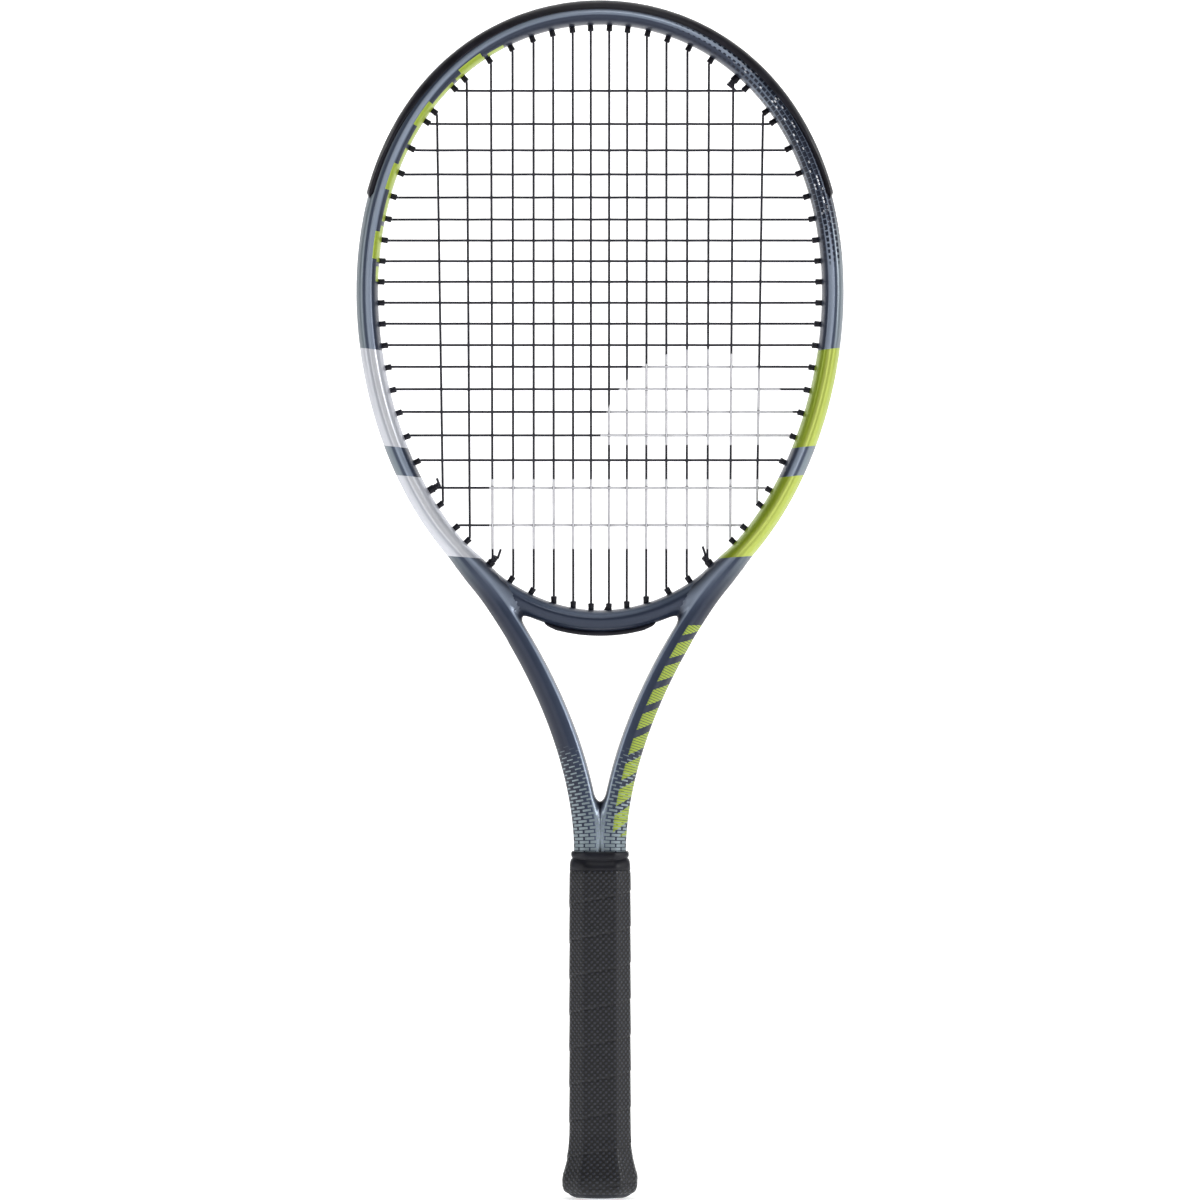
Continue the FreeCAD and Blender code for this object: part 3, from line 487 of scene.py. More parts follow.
def channel_points(first, second, side):
    """Points every 4 mm along the channel from one hole to another on the same side."""
    one, two = HOLES[first], HOLES[second]
    samples = UNDER if one["bridge"] else SAMPLES
    y = PASS_STEP * RUN_SIDES.get((first, second), RUN_SIDES.get((second, first), 0))
    count = int(np.hypot(*(one["outside"] - two["outside"])) // 4)
    k = np.linspace(one["station"], two["station"], count + 2)[1:-1].round().astype(int)
    x, z = (samples[a][k] + samples["n" + a][k] * one["height"] for a in "xz")
    return [[side * a, y, b] for a, b in zip(x, z)]


def main_line(k, side, z):
    """x of a main at a height: the straight line between its two mouths."""
    (x0, z0), (x1, z1) = HOLES["low", k]["mouth"], HOLES["top", k]["mouth"]
    return side * (x0 + (x1 - x0) * (z - z0) / (z1 - z0))


def crosses_of_main(k):
    """The rows that a main meets, which lie at least 1.5 mm inside both its mouths and theirs."""
    top, low = HOLES["top", k]["mouth"][1], HOLES["low", k]["mouth"][1]
    return [row for row, z in enumerate(CROSSES_Z)
            if low + 1.5 < z < top - 1.5 and abs(main_line(k, 1, z)) < HOLES["row", row]["mouth"][0] - 1.5]


def layer(k, side, row):
    """+1 where the main lies in front of the cross, and -1 where it lies behind."""
    return 1 if ((k if side > 0 else -1 - k) + row) % 2 == 0 else -1


def main_run(k, side, downwards):
    """A main's points at its crossings, WEAVE before or behind the middle plane."""
    rows = crosses_of_main(k)
    points = [[main_line(k, side, CROSSES_Z[r]), -layer(k, side, r) * WEAVE, CROSSES_Z[r]] for r in rows]
    return points if downwards else points[::-1]


def cross_run(row, from_right):
    """A cross's points at its crossings, on the other side of each main."""
    z, mains = CROSSES_Z[row], [k for k in range(len(MAINS_TOP_X)) if row in crosses_of_main(k)]
    points = [[main_line(k, side, z), layer(k, side, row) * WEAVE, z]
              for side, order in ((1, mains[::-1]), (-1, mains)) for k in order]
    return points if from_right else points[::-1]


def string_end(key, side):
    """A string's last points: out of the hole that it is tied off in, 1.2 mm past its mouth."""
    mouth, outside = hole_points(key, side, -place_in_hole(key, side))
    inward = np.subtract(mouth, outside)
    return [list(np.array(mouth) + inward / np.linalg.norm(inward) * 1.2), mouth, outside]


def main_half(side):
    """The main string from the middle of its lowest loop to its end on one side."""
    points, count = [], len(MAINS_TOP_X)
    for k in range(count):
        first, last = (("low", k), ("top", k)) if k % 2 == 0 else (("top", k), ("low", k))
        mouth, outside = run_ends(first, side)
        points += [outside, mouth] + main_run(k, side, k % 2 == 1)
        points += run_ends(last, side)
        if k + 1 < count:
            points += channel_points(last, (last[0], k + 1), side)
    end = ("low", MAIN_END_MAIN)
    return points + channel_points(("low", count - 1), end, side) + string_end(end, side)[::-1]


def cross_points():
    """The cross string, from its knot at the top right to its knot at the lower left."""
    last, side = ("top", CROSS_START_MAIN), 1
    points = string_end(last, side)
    for row in range(len(CROSSES_Z)):
        key = ("row", row)
        mouth, outside = run_ends(key, side)
        points += channel_points(last, key, side) + [outside, mouth] + cross_run(row, side > 0)
        side = -side
        points += run_ends(key, side)
        last = key
    end = ("row", CROSS_END_ROW)
    return points + channel_points(last, end, side) + string_end(end, side)[::-1]


def smooth_line(points, step=0.9, reach=1.3):
    """Corners joined by straight steps of equal length, then rounded by a moving average."""
    points = np.array(points, float)
    steps = np.linalg.norm(np.diff(points, axis=0), axis=1)
    run = np.concatenate([[0], np.cumsum(steps)])
    at = np.linspace(0, run[-1], int(run[-1] / step))
    line = np.stack([np.interp(at, run, points[:, k]) for k in range(3)], -1)
    half = max(1, round(reach / step))
    kernel = np.concatenate([np.arange(1, half + 1), np.arange(half + 1, 0, -1)]).astype(float)
    kernel /= kernel.sum()
    padded = np.concatenate([np.repeat(line[:1], half, 0), line, np.repeat(line[-1:], half, 0)])
    return np.stack([np.convolve(padded[:, k], kernel, "valid") for k in range(3)], -1)


def round_cord(line, across=(0.0, 1.0, 0.0)):
    """A string's circle carried along a line, with across, made square to the line, as its first axis."""
    tangent = np.gradient(line, axis=0)
    tangent /= np.linalg.norm(tangent, axis=1, keepdims=True)
    first = np.array(across) - (tangent @ np.array(across))[:, None] * tangent
    first /= np.linalg.norm(first, axis=1, keepdims=True)
    second = np.cross(tangent, first)
    turn = np.linspace(0, 2 * math.pi, STRING_SIDES, endpoint=False)[None, :, None]
    return line[:, None] + STRING_RADIUS * (np.cos(turn) * first[:, None] + np.sin(turn) * second[:, None])


def knot(tip, axis, tail):
    """Two and a half turns round an axis, as a helix of radius 1.25 mm and pitch 1.3, and a short tail."""
    axis, tail = (np.array(v, float) / np.linalg.norm(v) for v in (axis, tail))
    side = np.cross(axis, (0, 1, 0))
    side /= np.linalg.norm(side)
    up = np.cross(side, axis)
    turn = np.linspace(0, 5 * math.pi, 60)[:, None]
    climb = turn * 1.3 / (2 * math.pi) - 1.2
    coil = np.array(tip) + 1.25 * (np.cos(turn) * side + np.sin(turn) * up) + axis * climb
    end = coil[-1] + np.linspace(0, 5.5, 8)[:, None] * tail
    return [shell(round_cord(coil, axis)), shell(round_cord(end, np.cross(tail, axis)))]


# ---- finishes ----
def colour(text):
    """sRGB hex to linear, with an alpha of 1."""
    channels = [int(text[k:k + 2], 16) / 255 for k in (1, 3, 5)]
    return [c / 12.92 if c <= 0.04045 else ((c + 0.055) / 1.055) ** 2.4 for c in channels] + [1.0]


def add(tree, kind, links=None, stops=(), **settings):
    """Adds a node and gives its first output: links are its inputs, as values, outputs or hex colours."""
    node = tree.nodes.new("ShaderNode" + kind)
    for key, value in settings.items():
        setattr(node, key, value)
    for key, value in (links or {}).items():
        if isinstance(value, bpy.types.NodeSocket):
            tree.links.new(value, node.inputs[key])
        else:
            node.inputs[key].default_value = colour(value) if isinstance(value, str) else value
    for place, text in stops[1:-1]:
        node.color_ramp.elements.new(place)
    for element, (place, text) in zip(node.color_ramp.elements if stops else (), stops):
        element.position, element.color = place, colour(text)
    return node.outputs[0]


def finish_of(name, **values):
    """A new material with its shader's own settings, as (material, node tree, shader)."""
    made = bpy.data.materials.new(name)
    made.use_nodes = True
    shader = made.node_tree.nodes["Principled BSDF"]
    for key, value in values.items():
        shader.inputs[key.replace("_", " ")].default_value = value
    return made, made.node_tree, shader


def connect(tree, shader, **outputs):
    """Links outputs to the shader's inputs of those names."""
    for key, output in outputs.items():
        tree.links.new(output, shader.inputs[key.replace("_", " ")])


def blocks(tree, vector, width, height, gap):
    """Staggered blocks in a plane of millimetres: their mask, and a grey that is random for each block."""
    brick = add(tree, "TexBrick", {
        "Vector": vector, "Color1": "#000000", "Color2": "#ffffff", "Mortar": "#000000", "Scale": 1.0,
        "Mortar Size": gap, "Mortar Smooth": 0.0, "Bias": 0.0, "Brick Width": width, "Row Height": height},
        offset=0.5).node.outputs
    return add(tree, "Math", {0: 1.0, 1: brick["Fac"]}, operation="SUBTRACT"), brick["Color"]


TIMES = {"operation": "MULTIPLY"}


def within(tree, value, low, high, soft):
    """1 where a value is between low and high, falling to 0 over soft beyond them."""
    rise, fall = (add(tree, "MapRange", {0: value, 1: foot, 2: top}, interpolation_type="SMOOTHSTEP")
                  for foot, top in ((low - soft, low), (high + soft, high)))
    return add(tree, "Math", {0: rise, 1: fall}, **TIMES)


def paint_finish():
    """Moulded graphite in metallic flake paint under satin lacquer, with a painted highlight along its ridges and
    painted shade on its inner flanks and groove.

    Its patterns follow the section's bands, the distance along the tube and the height out of its line, in mm.
    """
    made, tree, shader = finish_of("metallic_flake_paint_with_painted_light", Metallic=0.35, Roughness=0.34,
                                   Specular_IOR_Level=0.35, Coat_Weight=0.2, Coat_Roughness=0.16)
    band, run, out, on_bridge = (add(tree, "Attribute", attribute_name=mark).node.outputs["Fac"]
                                 for mark in ("band", "along", "out", "bridge"))
    place = add(tree, "TexCoord").node.outputs["Object"]
    axes = add(tree, "SeparateXYZ", {0: place}).node.outputs
    share = add(tree, "Math", {0: band, 1: 1 / 6}, **TIMES)
    right = add(tree, "MapRange", {0: axes[0], 1: -0.0005, 2: 0.0005})
    # the colours across the bands are painted light: a painted highlight on the ridge, painted shade on the inner
    # flank, wall and groove, and painted light on the outer flank; the painted ridge highlight lies further out at
    # the head's top than at its sides
    top = add(tree, "MapRange", {0: run, 1: 150.0, 2: 30.0, 4: -0.095}, interpolation_type="SMOOTHSTEP")
    hoop = add(tree, "ValToRGB", {0: add(tree, "Math", {0: share, 1: top})}, [
        (0.0, "#1f2535"), (0.17, "#222a3d"), (0.31, "#2d3649"), (0.37, "#8995a8"), (0.50, "#a2aec0"),
        (0.56, "#465063"), (0.64, "#4d5769"), (0.70, "#7b868f"), (0.83, "#6c777f"), (1.0, "#39424f")])
    # the arms' and the bridge's bands likewise hold a painted ridge highlight between flanks in painted shade
    arm = add(tree, "ValToRGB", {0: share}, [
        (0.0, "#161b28"), (0.25, "#1f2637"), (0.34, "#8994a6"), (0.42, "#919db0"), (0.50, "#465066"),
        (0.64, "#343d50"), (0.71, "#20273a"), (0.83, "#1d2333"), (1.0, "#181d2a")])
    bridge = add(tree, "ValToRGB", {0: share}, [
        (0.0, "#161b28"), (0.22, "#252d3f"), (0.30, "#525e72"), (0.36, "#2f384b"), (0.80, "#293244"),
        (1.0, "#181d2a")])
    lower = add(tree, "MapRange", {0: axes[2], 1: 0.388, 2: 0.338}, interpolation_type="SMOOTHSTEP")
    base = add(tree, "MixRGB", {0: lower, 1: hoop, 2: arm})
    base = add(tree, "MixRGB", {0: on_bridge, 1: base, 2: bridge})
    right = add(tree, "Math", {0: right, 1: on_bridge}, operation="SUBTRACT", use_clamp=True)
    left = add(tree, "MapRange", {0: axes[0], 1: 0.0005, 2: -0.0005})
    flat = add(tree, "CombineXYZ", {0: run, 1: out})

    # printed dots: small at the head's top, crowded past the shoulder, and gone again beside the strings
    gap = add(tree, "ValToRGB", {0: add(tree, "Math", {0: run, 1: 1 / 300}, **TIMES)},
              [(0.14, "#f4f4f4"), (0.34, "#a4a4a4"), (0.46, "#646464"), (0.62, "#6a6a6a"), (0.76, "#e0e0e0")])
    dots, _ = blocks(tree, flat, 3.4, 2.5, add(tree, "Math", {0: gap, 1: 1.25}, **TIMES))
    where = add(tree, "Math", {0: within(tree, run, 44, 212, 8), 1: right}, **TIMES)
    crowd = add(tree, "Math", {0: within(tree, run, 110, 172, 34), 1: right}, **TIMES)
    outer = within(tree, band, 0.9, 5.1, 0.2)
    paler = add(tree, "MixRGB", {0: add(tree, "Math", {0: crowd, 1: outer}, **TIMES), 1: base, 2: "#5f6a7b"})
    dots = add(tree, "Math", {0: add(tree, "Math", {0: where, 1: dots}, **TIMES), 1: outer}, **TIMES)
    base = add(tree, "MixRGB", {0: dots, 1: paler, 2: "#1e2434"})
    flecks, chance = blocks(tree, flat, 2.1, 1.3, 0.35)
    fleck = add(tree, "Math", {0: chance, 1: 0.84}, operation="GREATER_THAN")
    fleck = add(tree, "Math", {0: add(tree, "Math", {0: fleck, 1: crowd}, **TIMES), 1: flecks}, **TIMES)
    fleck = add(tree, "Math", {0: fleck, 1: within(tree, band, 2.1, 3.8, 0.1)}, **TIMES)
    base = add(tree, "MixRGB", {0: fleck, 1: base, 2: "#e8eaee"})

    # plain dashes on the other shoulder
    edge, _ = blocks(tree, flat, 24.0, 50.0, 1.3)
    edge = add(tree, "Math", {0: edge, 1: within(tree, band, 0.5, 1.42, 0.04)}, **TIMES)
    wide = add(tree, "CombineXYZ", {0: run, 1: add(tree, "Math", {0: out, 1: 25.0})})
    block, _ = blocks(tree, wide, 41.0, 50.0, 12.5)
    block = add(tree, "Math", {0: block, 1: within(tree, band, 0.5, 1.98, 0.04)}, **TIMES)
    dash = add(tree, "Math", {0: add(tree, "Math", {0: edge, 1: block}, operation="MAXIMUM"), 1: left}, **TIMES)
    dash = add(tree, "Math", {0: dash, 1: within(tree, run, 60, 226, 0.3)}, **TIMES)
    base = add(tree, "MixRGB", {0: dash, 1: base, 2: "#9bae38"})

    # panels at the sides: pearl white on one, lime on the other, two on each
    height = add(tree, "Math", {0: out, 1: -0.00012, 2: axes[2]}, operation="MULTIPLY_ADD")
    level = add(tree, "MapRange", {0: height, 1: 0.360, 2: 0.490})
    panel = add(tree, "ValToRGB", {0: level}, [
        (0.0, "#000000"), (0.046, "#ffffff"), (0.40, "#000000"), (0.528, "#ffffff"), (0.958, "#000000")])
    panel.node.color_ramp.interpolation = "CONSTANT"
    # the white and the lime are each lit and shaded copies across the bands: painted shade on the inner flank and
    # groove, a painted highlight on the ridge
    white = add(tree, "ValToRGB", {0: share}, [
        (0.0, "#a3a6b0"), (0.28, "#b4b7c0"), (0.36, "#d8dae0"), (0.53, "#d3d5db"), (0.58, "#b4b7c0"),
        (0.64, "#c3c6ce"), (0.72, "#cfd1d8"), (1.0, "#b4b7c0")])
    lime = add(tree, "ValToRGB", {0: share}, [
        (0.0, "#768c1a"), (0.30, "#8ba024"), (0.38, "#98ab2f"), (0.46, "#b3c05a"), (0.70, "#b1bf55"),
        (0.86, "#a7b74a"), (1.0, "#8b9d2c")])
    side = add(tree, "MixRGB", {0: right, 1: white, 2: lime})
    panel = add(tree, "Math", {0: panel, 1: on_bridge}, operation="SUBTRACT", use_clamp=True)
    base = add(tree, "MixRGB", {0: panel, 1: base, 2: side})

    # printed dots and slanted bars on the arms' lower ends
    low = within(tree, axes[2], 0.15, 0.250, 0.010)
    upright = add(tree, "CombineXYZ", {0: out, 1: run})
    gap = add(tree, "MapRange", {0: axes[2], 1: 0.200, 2: 0.262, 3: 0.20, 4: 0.80})
    specks, _ = blocks(tree, upright, 3.0, 2.0, gap)
    specks = add(tree, "Math", {0: specks, 1: low}, **TIMES)
    specks = add(tree, "Math", {0: specks, 1: within(tree, band, 1.9, 5.1, 0.1)}, **TIMES)
    base = add(tree, "MixRGB", {0: specks, 1: base, 2: "#86949b"})
    slant = add(tree, "Math", {0: out, 1: 1.7, 2: run}, operation="MULTIPLY_ADD")
    slant = add(tree, "CombineXYZ", {0: slant, 1: 25.0})
    bars, _ = blocks(tree, slant, 15.0, 50.0, 2.6)
    lines, _ = blocks(tree, upright, 40.0, 1.5, 0.16)
    for mask in (lines, right, within(tree, axes[2], 0.207, 0.327, 0.0005), within(tree, band, 3.9, 5.1, 0.1)):
        bars = add(tree, "Math", {0: bars, 1: mask}, **TIMES)
    base = add(tree, "MixRGB", {0: bars, 1: base, 2: "#95a83a"})
    # flake is a few hundredths of a millimetre across, and drawn at 0.4 mm so that it shows
    flake = add(tree, "TexNoise", {"Vector": place, "Scale": 2500.0, "Detail": 1.0})
    wear = add(tree, "TexNoise", {"Vector": place, "Scale": 60.0, "Detail": 4.0})
    connect(tree, shader, Base_Color=base,
            Roughness=add(tree, "MapRange", {0: wear, 1: 0.3, 2: 0.7, 3: 0.28, 4: 0.40}),
            Normal=add(tree, "Bump", {"Height": flake, "Distance": 0.00002, "Strength": 0.5}))
    return made


def string_finish():
    """Extruded polyester string, dark and half glossy, with a plain half-round and bar stencilled in front."""
    made, tree, shader = finish_of("extruded_polyester_string", Roughness=0.42, IOR=1.55,
                                   Specular_IOR_Level=0.16)
    front = add(tree, "Attribute", attribute_name="front").node.outputs["Fac"]
    place = add(tree, "TexCoord").node.outputs["Object"]
    axes = add(tree, "SeparateXYZ", {0: place}).node.outputs
    half_round = add(tree, "Mapping", {0: place, 1: (-0.057, 0.0, -0.428)})
    flat = add(tree, "VectorMath", {0: half_round, 1: (1.0, 0.0, 1.0)}, **TIMES)
    away = add(tree, "VectorMath", {0: flat}, operation="LENGTH").node.outputs["Value"]
    disc = add(tree, "Math", {0: within(tree, away, -1.0, 0.0570, 0.0006),
                              1: within(tree, axes[2], 0.4305, 1.0, 0.0004)}, **TIMES)
    bar = add(tree, "Math", {0: within(tree, axes[0], -0.063, 0.104, 0.0006),
                             1: within(tree, axes[2], 0.371, 0.4105, 0.0004)}, **TIMES)
    stencil = add(tree, "Math", {0: disc, 1: bar}, operation="MAXIMUM")
    stencil = add(tree, "Math", {0: stencil, 1: within(tree, front, 0.74, 2.0, 0.22)}, **TIMES)
    tone = add(tree, "TexNoise", {"Vector": place, "Scale": 350.0, "Detail": 3.0})
    grey = add(tree, "ValToRGB", {0: tone}, [(0.3, "#24232b"), (0.7, "#3a3942")])
    ink = add(tree, "ValToRGB", {0: tone}, [(0.3, "#d2d2d8"), (0.7, "#e2e2e6")])
    connect(tree, shader, Base_Color=add(tree, "MixRGB", {0: stencil, 1: grey, 2: ink}),
            Roughness=add(tree, "MapRange", {0: stencil, 3: 0.3, 4: 0.6}),
            Normal=add(tree, "Bump", {"Height": tone, "Distance": 0.00002}))
    return made


def nylon_finish(name, dark, light, roughness):
    """Injection-moulded nylon or rubber: near black, half matt, with the mould's fine spark-eroded grain."""
    made, tree, shader = finish_of(name, Roughness=roughness, IOR=1.53, Specular_IOR_Level=0.25)
    place = add(tree, "TexCoord").node.outputs["Object"]
    # spark-eroded grain is about 0.1 mm, and drawn at 0.5 mm so that it shows
    grain = add(tree, "TexNoise", {"Vector": place, "Scale": 2000.0, "Detail": 2.0})
    cloud = add(tree, "TexNoise", {"Vector": place, "Scale": 90.0, "Detail": 3.0})
    connect(tree, shader, Base_Color=add(tree, "ValToRGB", {0: cloud}, [(0.3, dark), (0.7, light)]),
            Roughness=add(tree, "MapRange", {0: grain, 1: 0.3, 2: 0.7, 3: roughness - 0.06, 4: roughness + 0.08}),
            Normal=add(tree, "Bump", {"Height": grain, "Distance": 0.00005, "Strength": 0.6}))
    return made


def bumper_finish():
    """The guard's moulded nylon, duller in the patches that courts have scuffed."""
    made, tree, shader = finish_of("moulded_nylon_guard", Roughness=0.42, IOR=1.53, Specular_IOR_Level=0.2)
    place = add(tree, "TexCoord").node.outputs["Object"]
    grain = add(tree, "TexNoise", {"Vector": place, "Scale": 2000.0, "Detail": 2.0})
    scuffs = add(tree, "TexNoise", {"Vector": place, "Scale": 120.0, "Detail": 4.0})
    connect(tree, shader, Base_Color=add(tree, "ValToRGB", {0: scuffs}, [(0.35, "#100f16"), (0.65, "#1b1a23")]),
            Roughness=add(tree, "MapRange", {0: scuffs, 1: 0.3, 2: 0.7, 3: 0.34, 4: 0.5}),
            Normal=add(tree, "Bump", {"Height": grain, "Distance": 0.00005, "Strength": 0.6}))
    return made


def grip_finish():
    """Embossed polyurethane grip tape: deep black-navy, glossier on a lattice of raised dots, with painted sheen
    lightening the dots and painted shadow in the seams.

    The dots are where cos(2 pi across / 3.07 mm) cos(2 pi z / 3.3 mm) is near 1.
    """
    made, tree, shader = finish_of("embossed_polyurethane_grip", Roughness=0.36, IOR=1.5,
                                   Specular_IOR_Level=0.45)
    around, seam = (add(tree, "Attribute", attribute_name=mark).node.outputs["Fac"] for mark in ("around", "seam"))
    place = add(tree, "TexCoord").node.outputs["Object"]
    z = add(tree, "SeparateXYZ", {0: place}).node.outputs[2]
    across, along = (add(tree, "Math", {0: add(tree, "Math", {0: value, 1: pace}, **TIMES)}, operation="COSINE")
                     for value, pace in ((around, 2 * math.pi / 3.07), (z, 2000 * math.pi / 3.3)))
    lattice = add(tree, "Math", {0: across, 1: along}, **TIMES)
    dot = add(tree, "MapRange", {0: lattice, 1: -0.1, 2: 0.75}, interpolation_type="SMOOTHSTEP")
    pores = add(tree, "TexNoise", {"Vector": place, "Scale": 1400.0, "Detail": 2.0})
    # painted sheen: the raised dots are coloured lighter than the dark ground between them
    tone = add(tree, "ValToRGB", {0: dot}, [(0.0, "#07080d"), (0.5, "#10121a"), (1.0, "#2c2f3a")])
    height = add(tree, "Math", {0: pores, 1: 0.15, 2: dot}, operation="MULTIPLY_ADD")
    # the seam mark is painted shadow: near black in the seams' grooves, stronger on the side that faces right
    connect(tree, shader, Base_Color=add(tree, "MixRGB", {0: seam, 1: tone, 2: "#04040a"}),
            Roughness=add(tree, "MapRange", {0: dot, 3: 0.5, 4: 0.28}),
            Normal=add(tree, "Bump", {"Height": height, "Distance": 0.00035, "Strength": 0.9}))
    return made


def mottled_finish(name, kind, pattern, stops, depth, **values):
    """A finish of two close tones from one fine pattern, which also stands out by depth metres."""
    made, tree, shader = finish_of(name, **values)
    tone = add(tree, kind, {"Vector": add(tree, "TexCoord").node.outputs["Object"], **pattern})
    connect(tree, shader, Base_Color=add(tree, "ValToRGB", {0: tone}, stops),
            Normal=add(tree, "Bump", {"Height": tone, "Distance": depth}))
    return made


# ---- pieces ----
def frame_piece():
    """The whole moulding: tube rings from butt to butt over the head's top, and the bridge under them."""
    tube, bridge = both_sides(tube_rings()), both_sides(bridge_rings()[::-1])
    marks = {"band": [], "along": [], "out": [], "bridge": []}
    for rings, run in ((tube, RIGHT["run"]), (bridge, BRIDGE_PATH["run"][::-1] + BRIDGE_RUN)):
        rows = len(rings)
        loop = HOOP_LOOP[:, 0] if rings is tube else BRIDGE_LOOP[:, 0]
        both_runs = np.concatenate([run[::-1], run[1:]])
        for mark, values in (("band", np.tile(BAND_LOOP, rows)), ("out", np.tile(loop, rows)),
                             ("along", np.repeat(both_runs, len(loop))),
                             ("bridge", np.full(rows * len(loop), float(rings is bridge)))):
            marks[mark] += [values, values[:1], values[-1:]]
    piece("frame_moulding", [shell(tube), shell(bridge)], paint_finish(), "racket", ["frame"],
          {mark: np.concatenate(values) for mark, values in marks.items()})


def bumper_loop(inner):
    """Half of the guard's section and its mirror: inner lip's edge, over the lip, into the string channel."""
    drop = inner - LIP_HIGH
    over = [(inner, 12.3 - 0.42 * drop), (inner + 0.25, 13.1 - 0.42 * drop), (inner + 0.9, 13.1 - 0.45 * drop),
            (5.3, 11.2), (6.7, 8.6), (7.35, 6.0), (7.3, 3.2), (6.9, 2.4), (6.2, 2.2), (4.75, 2.15), (4.6, 1.8),
            (4.6, 0.6)]
    under = [(3.6, 0.6), (3.6, 4.6), (6.0, 4.7), (6.1, 5.3), (4.2, 9.8), (2.6, 11.0)]
    half = under + over
    return np.array(over + [(out, -y) for out, y in half[::-1]] + under)


# heights over the head's line: the inner lip's edge at the head's top and at the guard's ends, and the floor
LIP_HIGH, LIP_LOW, GUARD_FLOOR = 1.9, 4.9, 4.6


def bumper_piece():
    """The guard's section carried over the head's top; its inner lip draws outwards towards the two ends."""
    angle = np.linspace(-BUMPER_ANGLE, BUMPER_ANGLE, 420)
    degrees = np.abs(np.degrees(angle))
    path = head_path(-BUMPER_ANGLE, BUMPER_ANGLE, 420)
    first, second = bumper_loop(LIP_HIGH), bumper_loop(LIP_LOW)
    loops = first + ease((degrees - 38.0) / 26.0)[:, None, None] * (second - first)
    deep = path["depth"][:, None] / SECTION_DEPTH
    taper = ease((np.degrees(BUMPER_ANGLE) - degrees + 0.4) / 1.6)[:, None]
    rings = lifted(path, GUARD_FLOOR + (loops[..., 0] - GUARD_FLOOR) * taper,
                   loops[..., 1] * deep * (0.75 + 0.25 * taper))
    limit = head_line(BUMPER_ANGLE)[1]
    high = [key for key, hole in HOLES.items() if not hole["bridge"] and hole["outside"][1] > limit]
    piece("bumper_guard_moulding", [shell(rings)] + barrels(high, (1, -1)), bumper_finish(), "racket",
          ["bumper_guard"])


def band_rings(path, low, high, width, mirror):
    """A flat band with rounded edges: a small loop carried along a path between two heights."""
    middle, half = (low + high) / 2, width / 2
    over = [(low, half), (middle, half), (high - 0.1, half - 0.1), (high, half - 0.5)]
    loop = np.array([(low, -half)] + over + [(high, 0.0)] + [(out, -y) for out, y in over[:0:-1]])
    return lifted(path, loop[None, :, 0] + 0 * path["x"][:, None], loop[None, :, 1]) * [mirror, 1, 1]


# points round the throat strip's section: place across it, and how much of the bulge lifts it, less in its channel
THROAT_STRIP = [(-5.5, 0), (5.5, 0), (5.5, 0.6), (5.2, 0.9), (4.6, 1.0), (2.4, 1.0), (2.2, 0.45), (-2.2, 0.45),
                (-2.4, 1.0), (-4.6, 1.0), (-5.2, 0.9), (-5.5, 0.6)]


def strip_pieces(finish):
    """Grommet strips: a flat band in each side's channel, and one that bulges by sqrt(1 - t^6) at the throat."""
    limit = head_line(BUMPER_ANGLE)[1]
    start, end = limit - 0.6, HOLES["low", 3]["outside"][1] - 6.0
    chosen = np.flatnonzero((SAMPLES["z"] > end) & (SAMPLES["z"] < start) & (SAMPLES["x"] > 60))[::4]
    path = {key: values[chosen] for key, values in SAMPLES.items()}
    keys = [key for key, hole in HOLES.items() if not hole["bridge"] and hole["outside"][1] <= limit]
    for side, name in ((1, "right"), (-1, "left")):
        band = shell(band_rings(path, 3.55, GUARD_FLOOR, 9.2, side))
        piece(f"{name}_grommets", [band] + barrels(keys, (side,)), finish, "racket", [f"{name}_grommet_strip"])
    low = head_path(math.pi - BRIDGE_STRIP_ANGLE, math.pi + BRIDGE_STRIP_ANGLE, 90)
    bulge = np.sqrt(np.clip(1 - np.linspace(-1, 1, 90) ** 6, 0.02, 1))
    across, lift = np.array(THROAT_STRIP).T
    rings = lifted(low, 5.9 + 2.7 * bulge[:, None] * lift, across[None])
    keys = [key for key, hole in HOLES.items() if hole["bridge"]]
    piece("throat_grommets", [shell(rings)] + barrels(keys, (1, -1)), finish, "racket",
          ["throat_grommet_strip"])


def string_piece(name, points, ends, finish, node):
    """A string as a round cord along its line, with a knot and a tail at each of its knotted ends."""
    line = smooth_line(points)
    turn = np.linspace(0, 2 * math.pi, STRING_SIDES, endpoint=False)
    knots = [made for end in ends for made in knot(*end)]
    front = np.concatenate([np.tile(-np.cos(turn), len(line)), [0, 0]] + [np.zeros(len(p)) for p, _ in knots])
    piece(name, [shell(round_cord(line))] + knots, finish, "racket", [node], {"front": front})


def strings():
    """Both strings, with each knot's place, the way its string leaves the hole and the way its tail points."""
    finish = string_finish()
    right, left = main_half(1), main_half(-1)
    ends = [(p[-1], np.subtract(p[-1], p[-2]), (-0.3 * s, -0.35, 0.9)) for p, s in ((right, 1), (left, -1))]
    string_piece("main_string_bed", left[::-1] + right[1:], ends, finish, "main_string")
    points = cross_points()
    ends = [(points[0], np.subtract(points[0], points[1]), (0.75, -0.3, -0.6)),
            (points[-1], np.subtract(points[-1], points[-2]), (-0.35, -0.3, 0.9))]
    string_piece("cross_string_bed", points, ends, finish, "cross_string")


def eight_sided(count, passes):
    """Eight-sided loop of half sizes 1 by 1, sampled evenly and softened, from the middle of the right side."""
    corners = np.array([(1, 0), (1, 0.52), (0.52, 1), (-0.52, 1), (-1, 0.52), (-1, -0.52), (-0.52, -1),
                        (0.52, -1), (1, -0.52), (1, 0)], float)
    run = np.concatenate([[0], np.cumsum(np.hypot(*np.diff(corners, axis=0).T))])
    at = np.linspace(0, run[-1], count, endpoint=False)
    return softened(np.stack([np.interp(at, run, corners[:, k]) for k in (0, 1)], -1), passes)


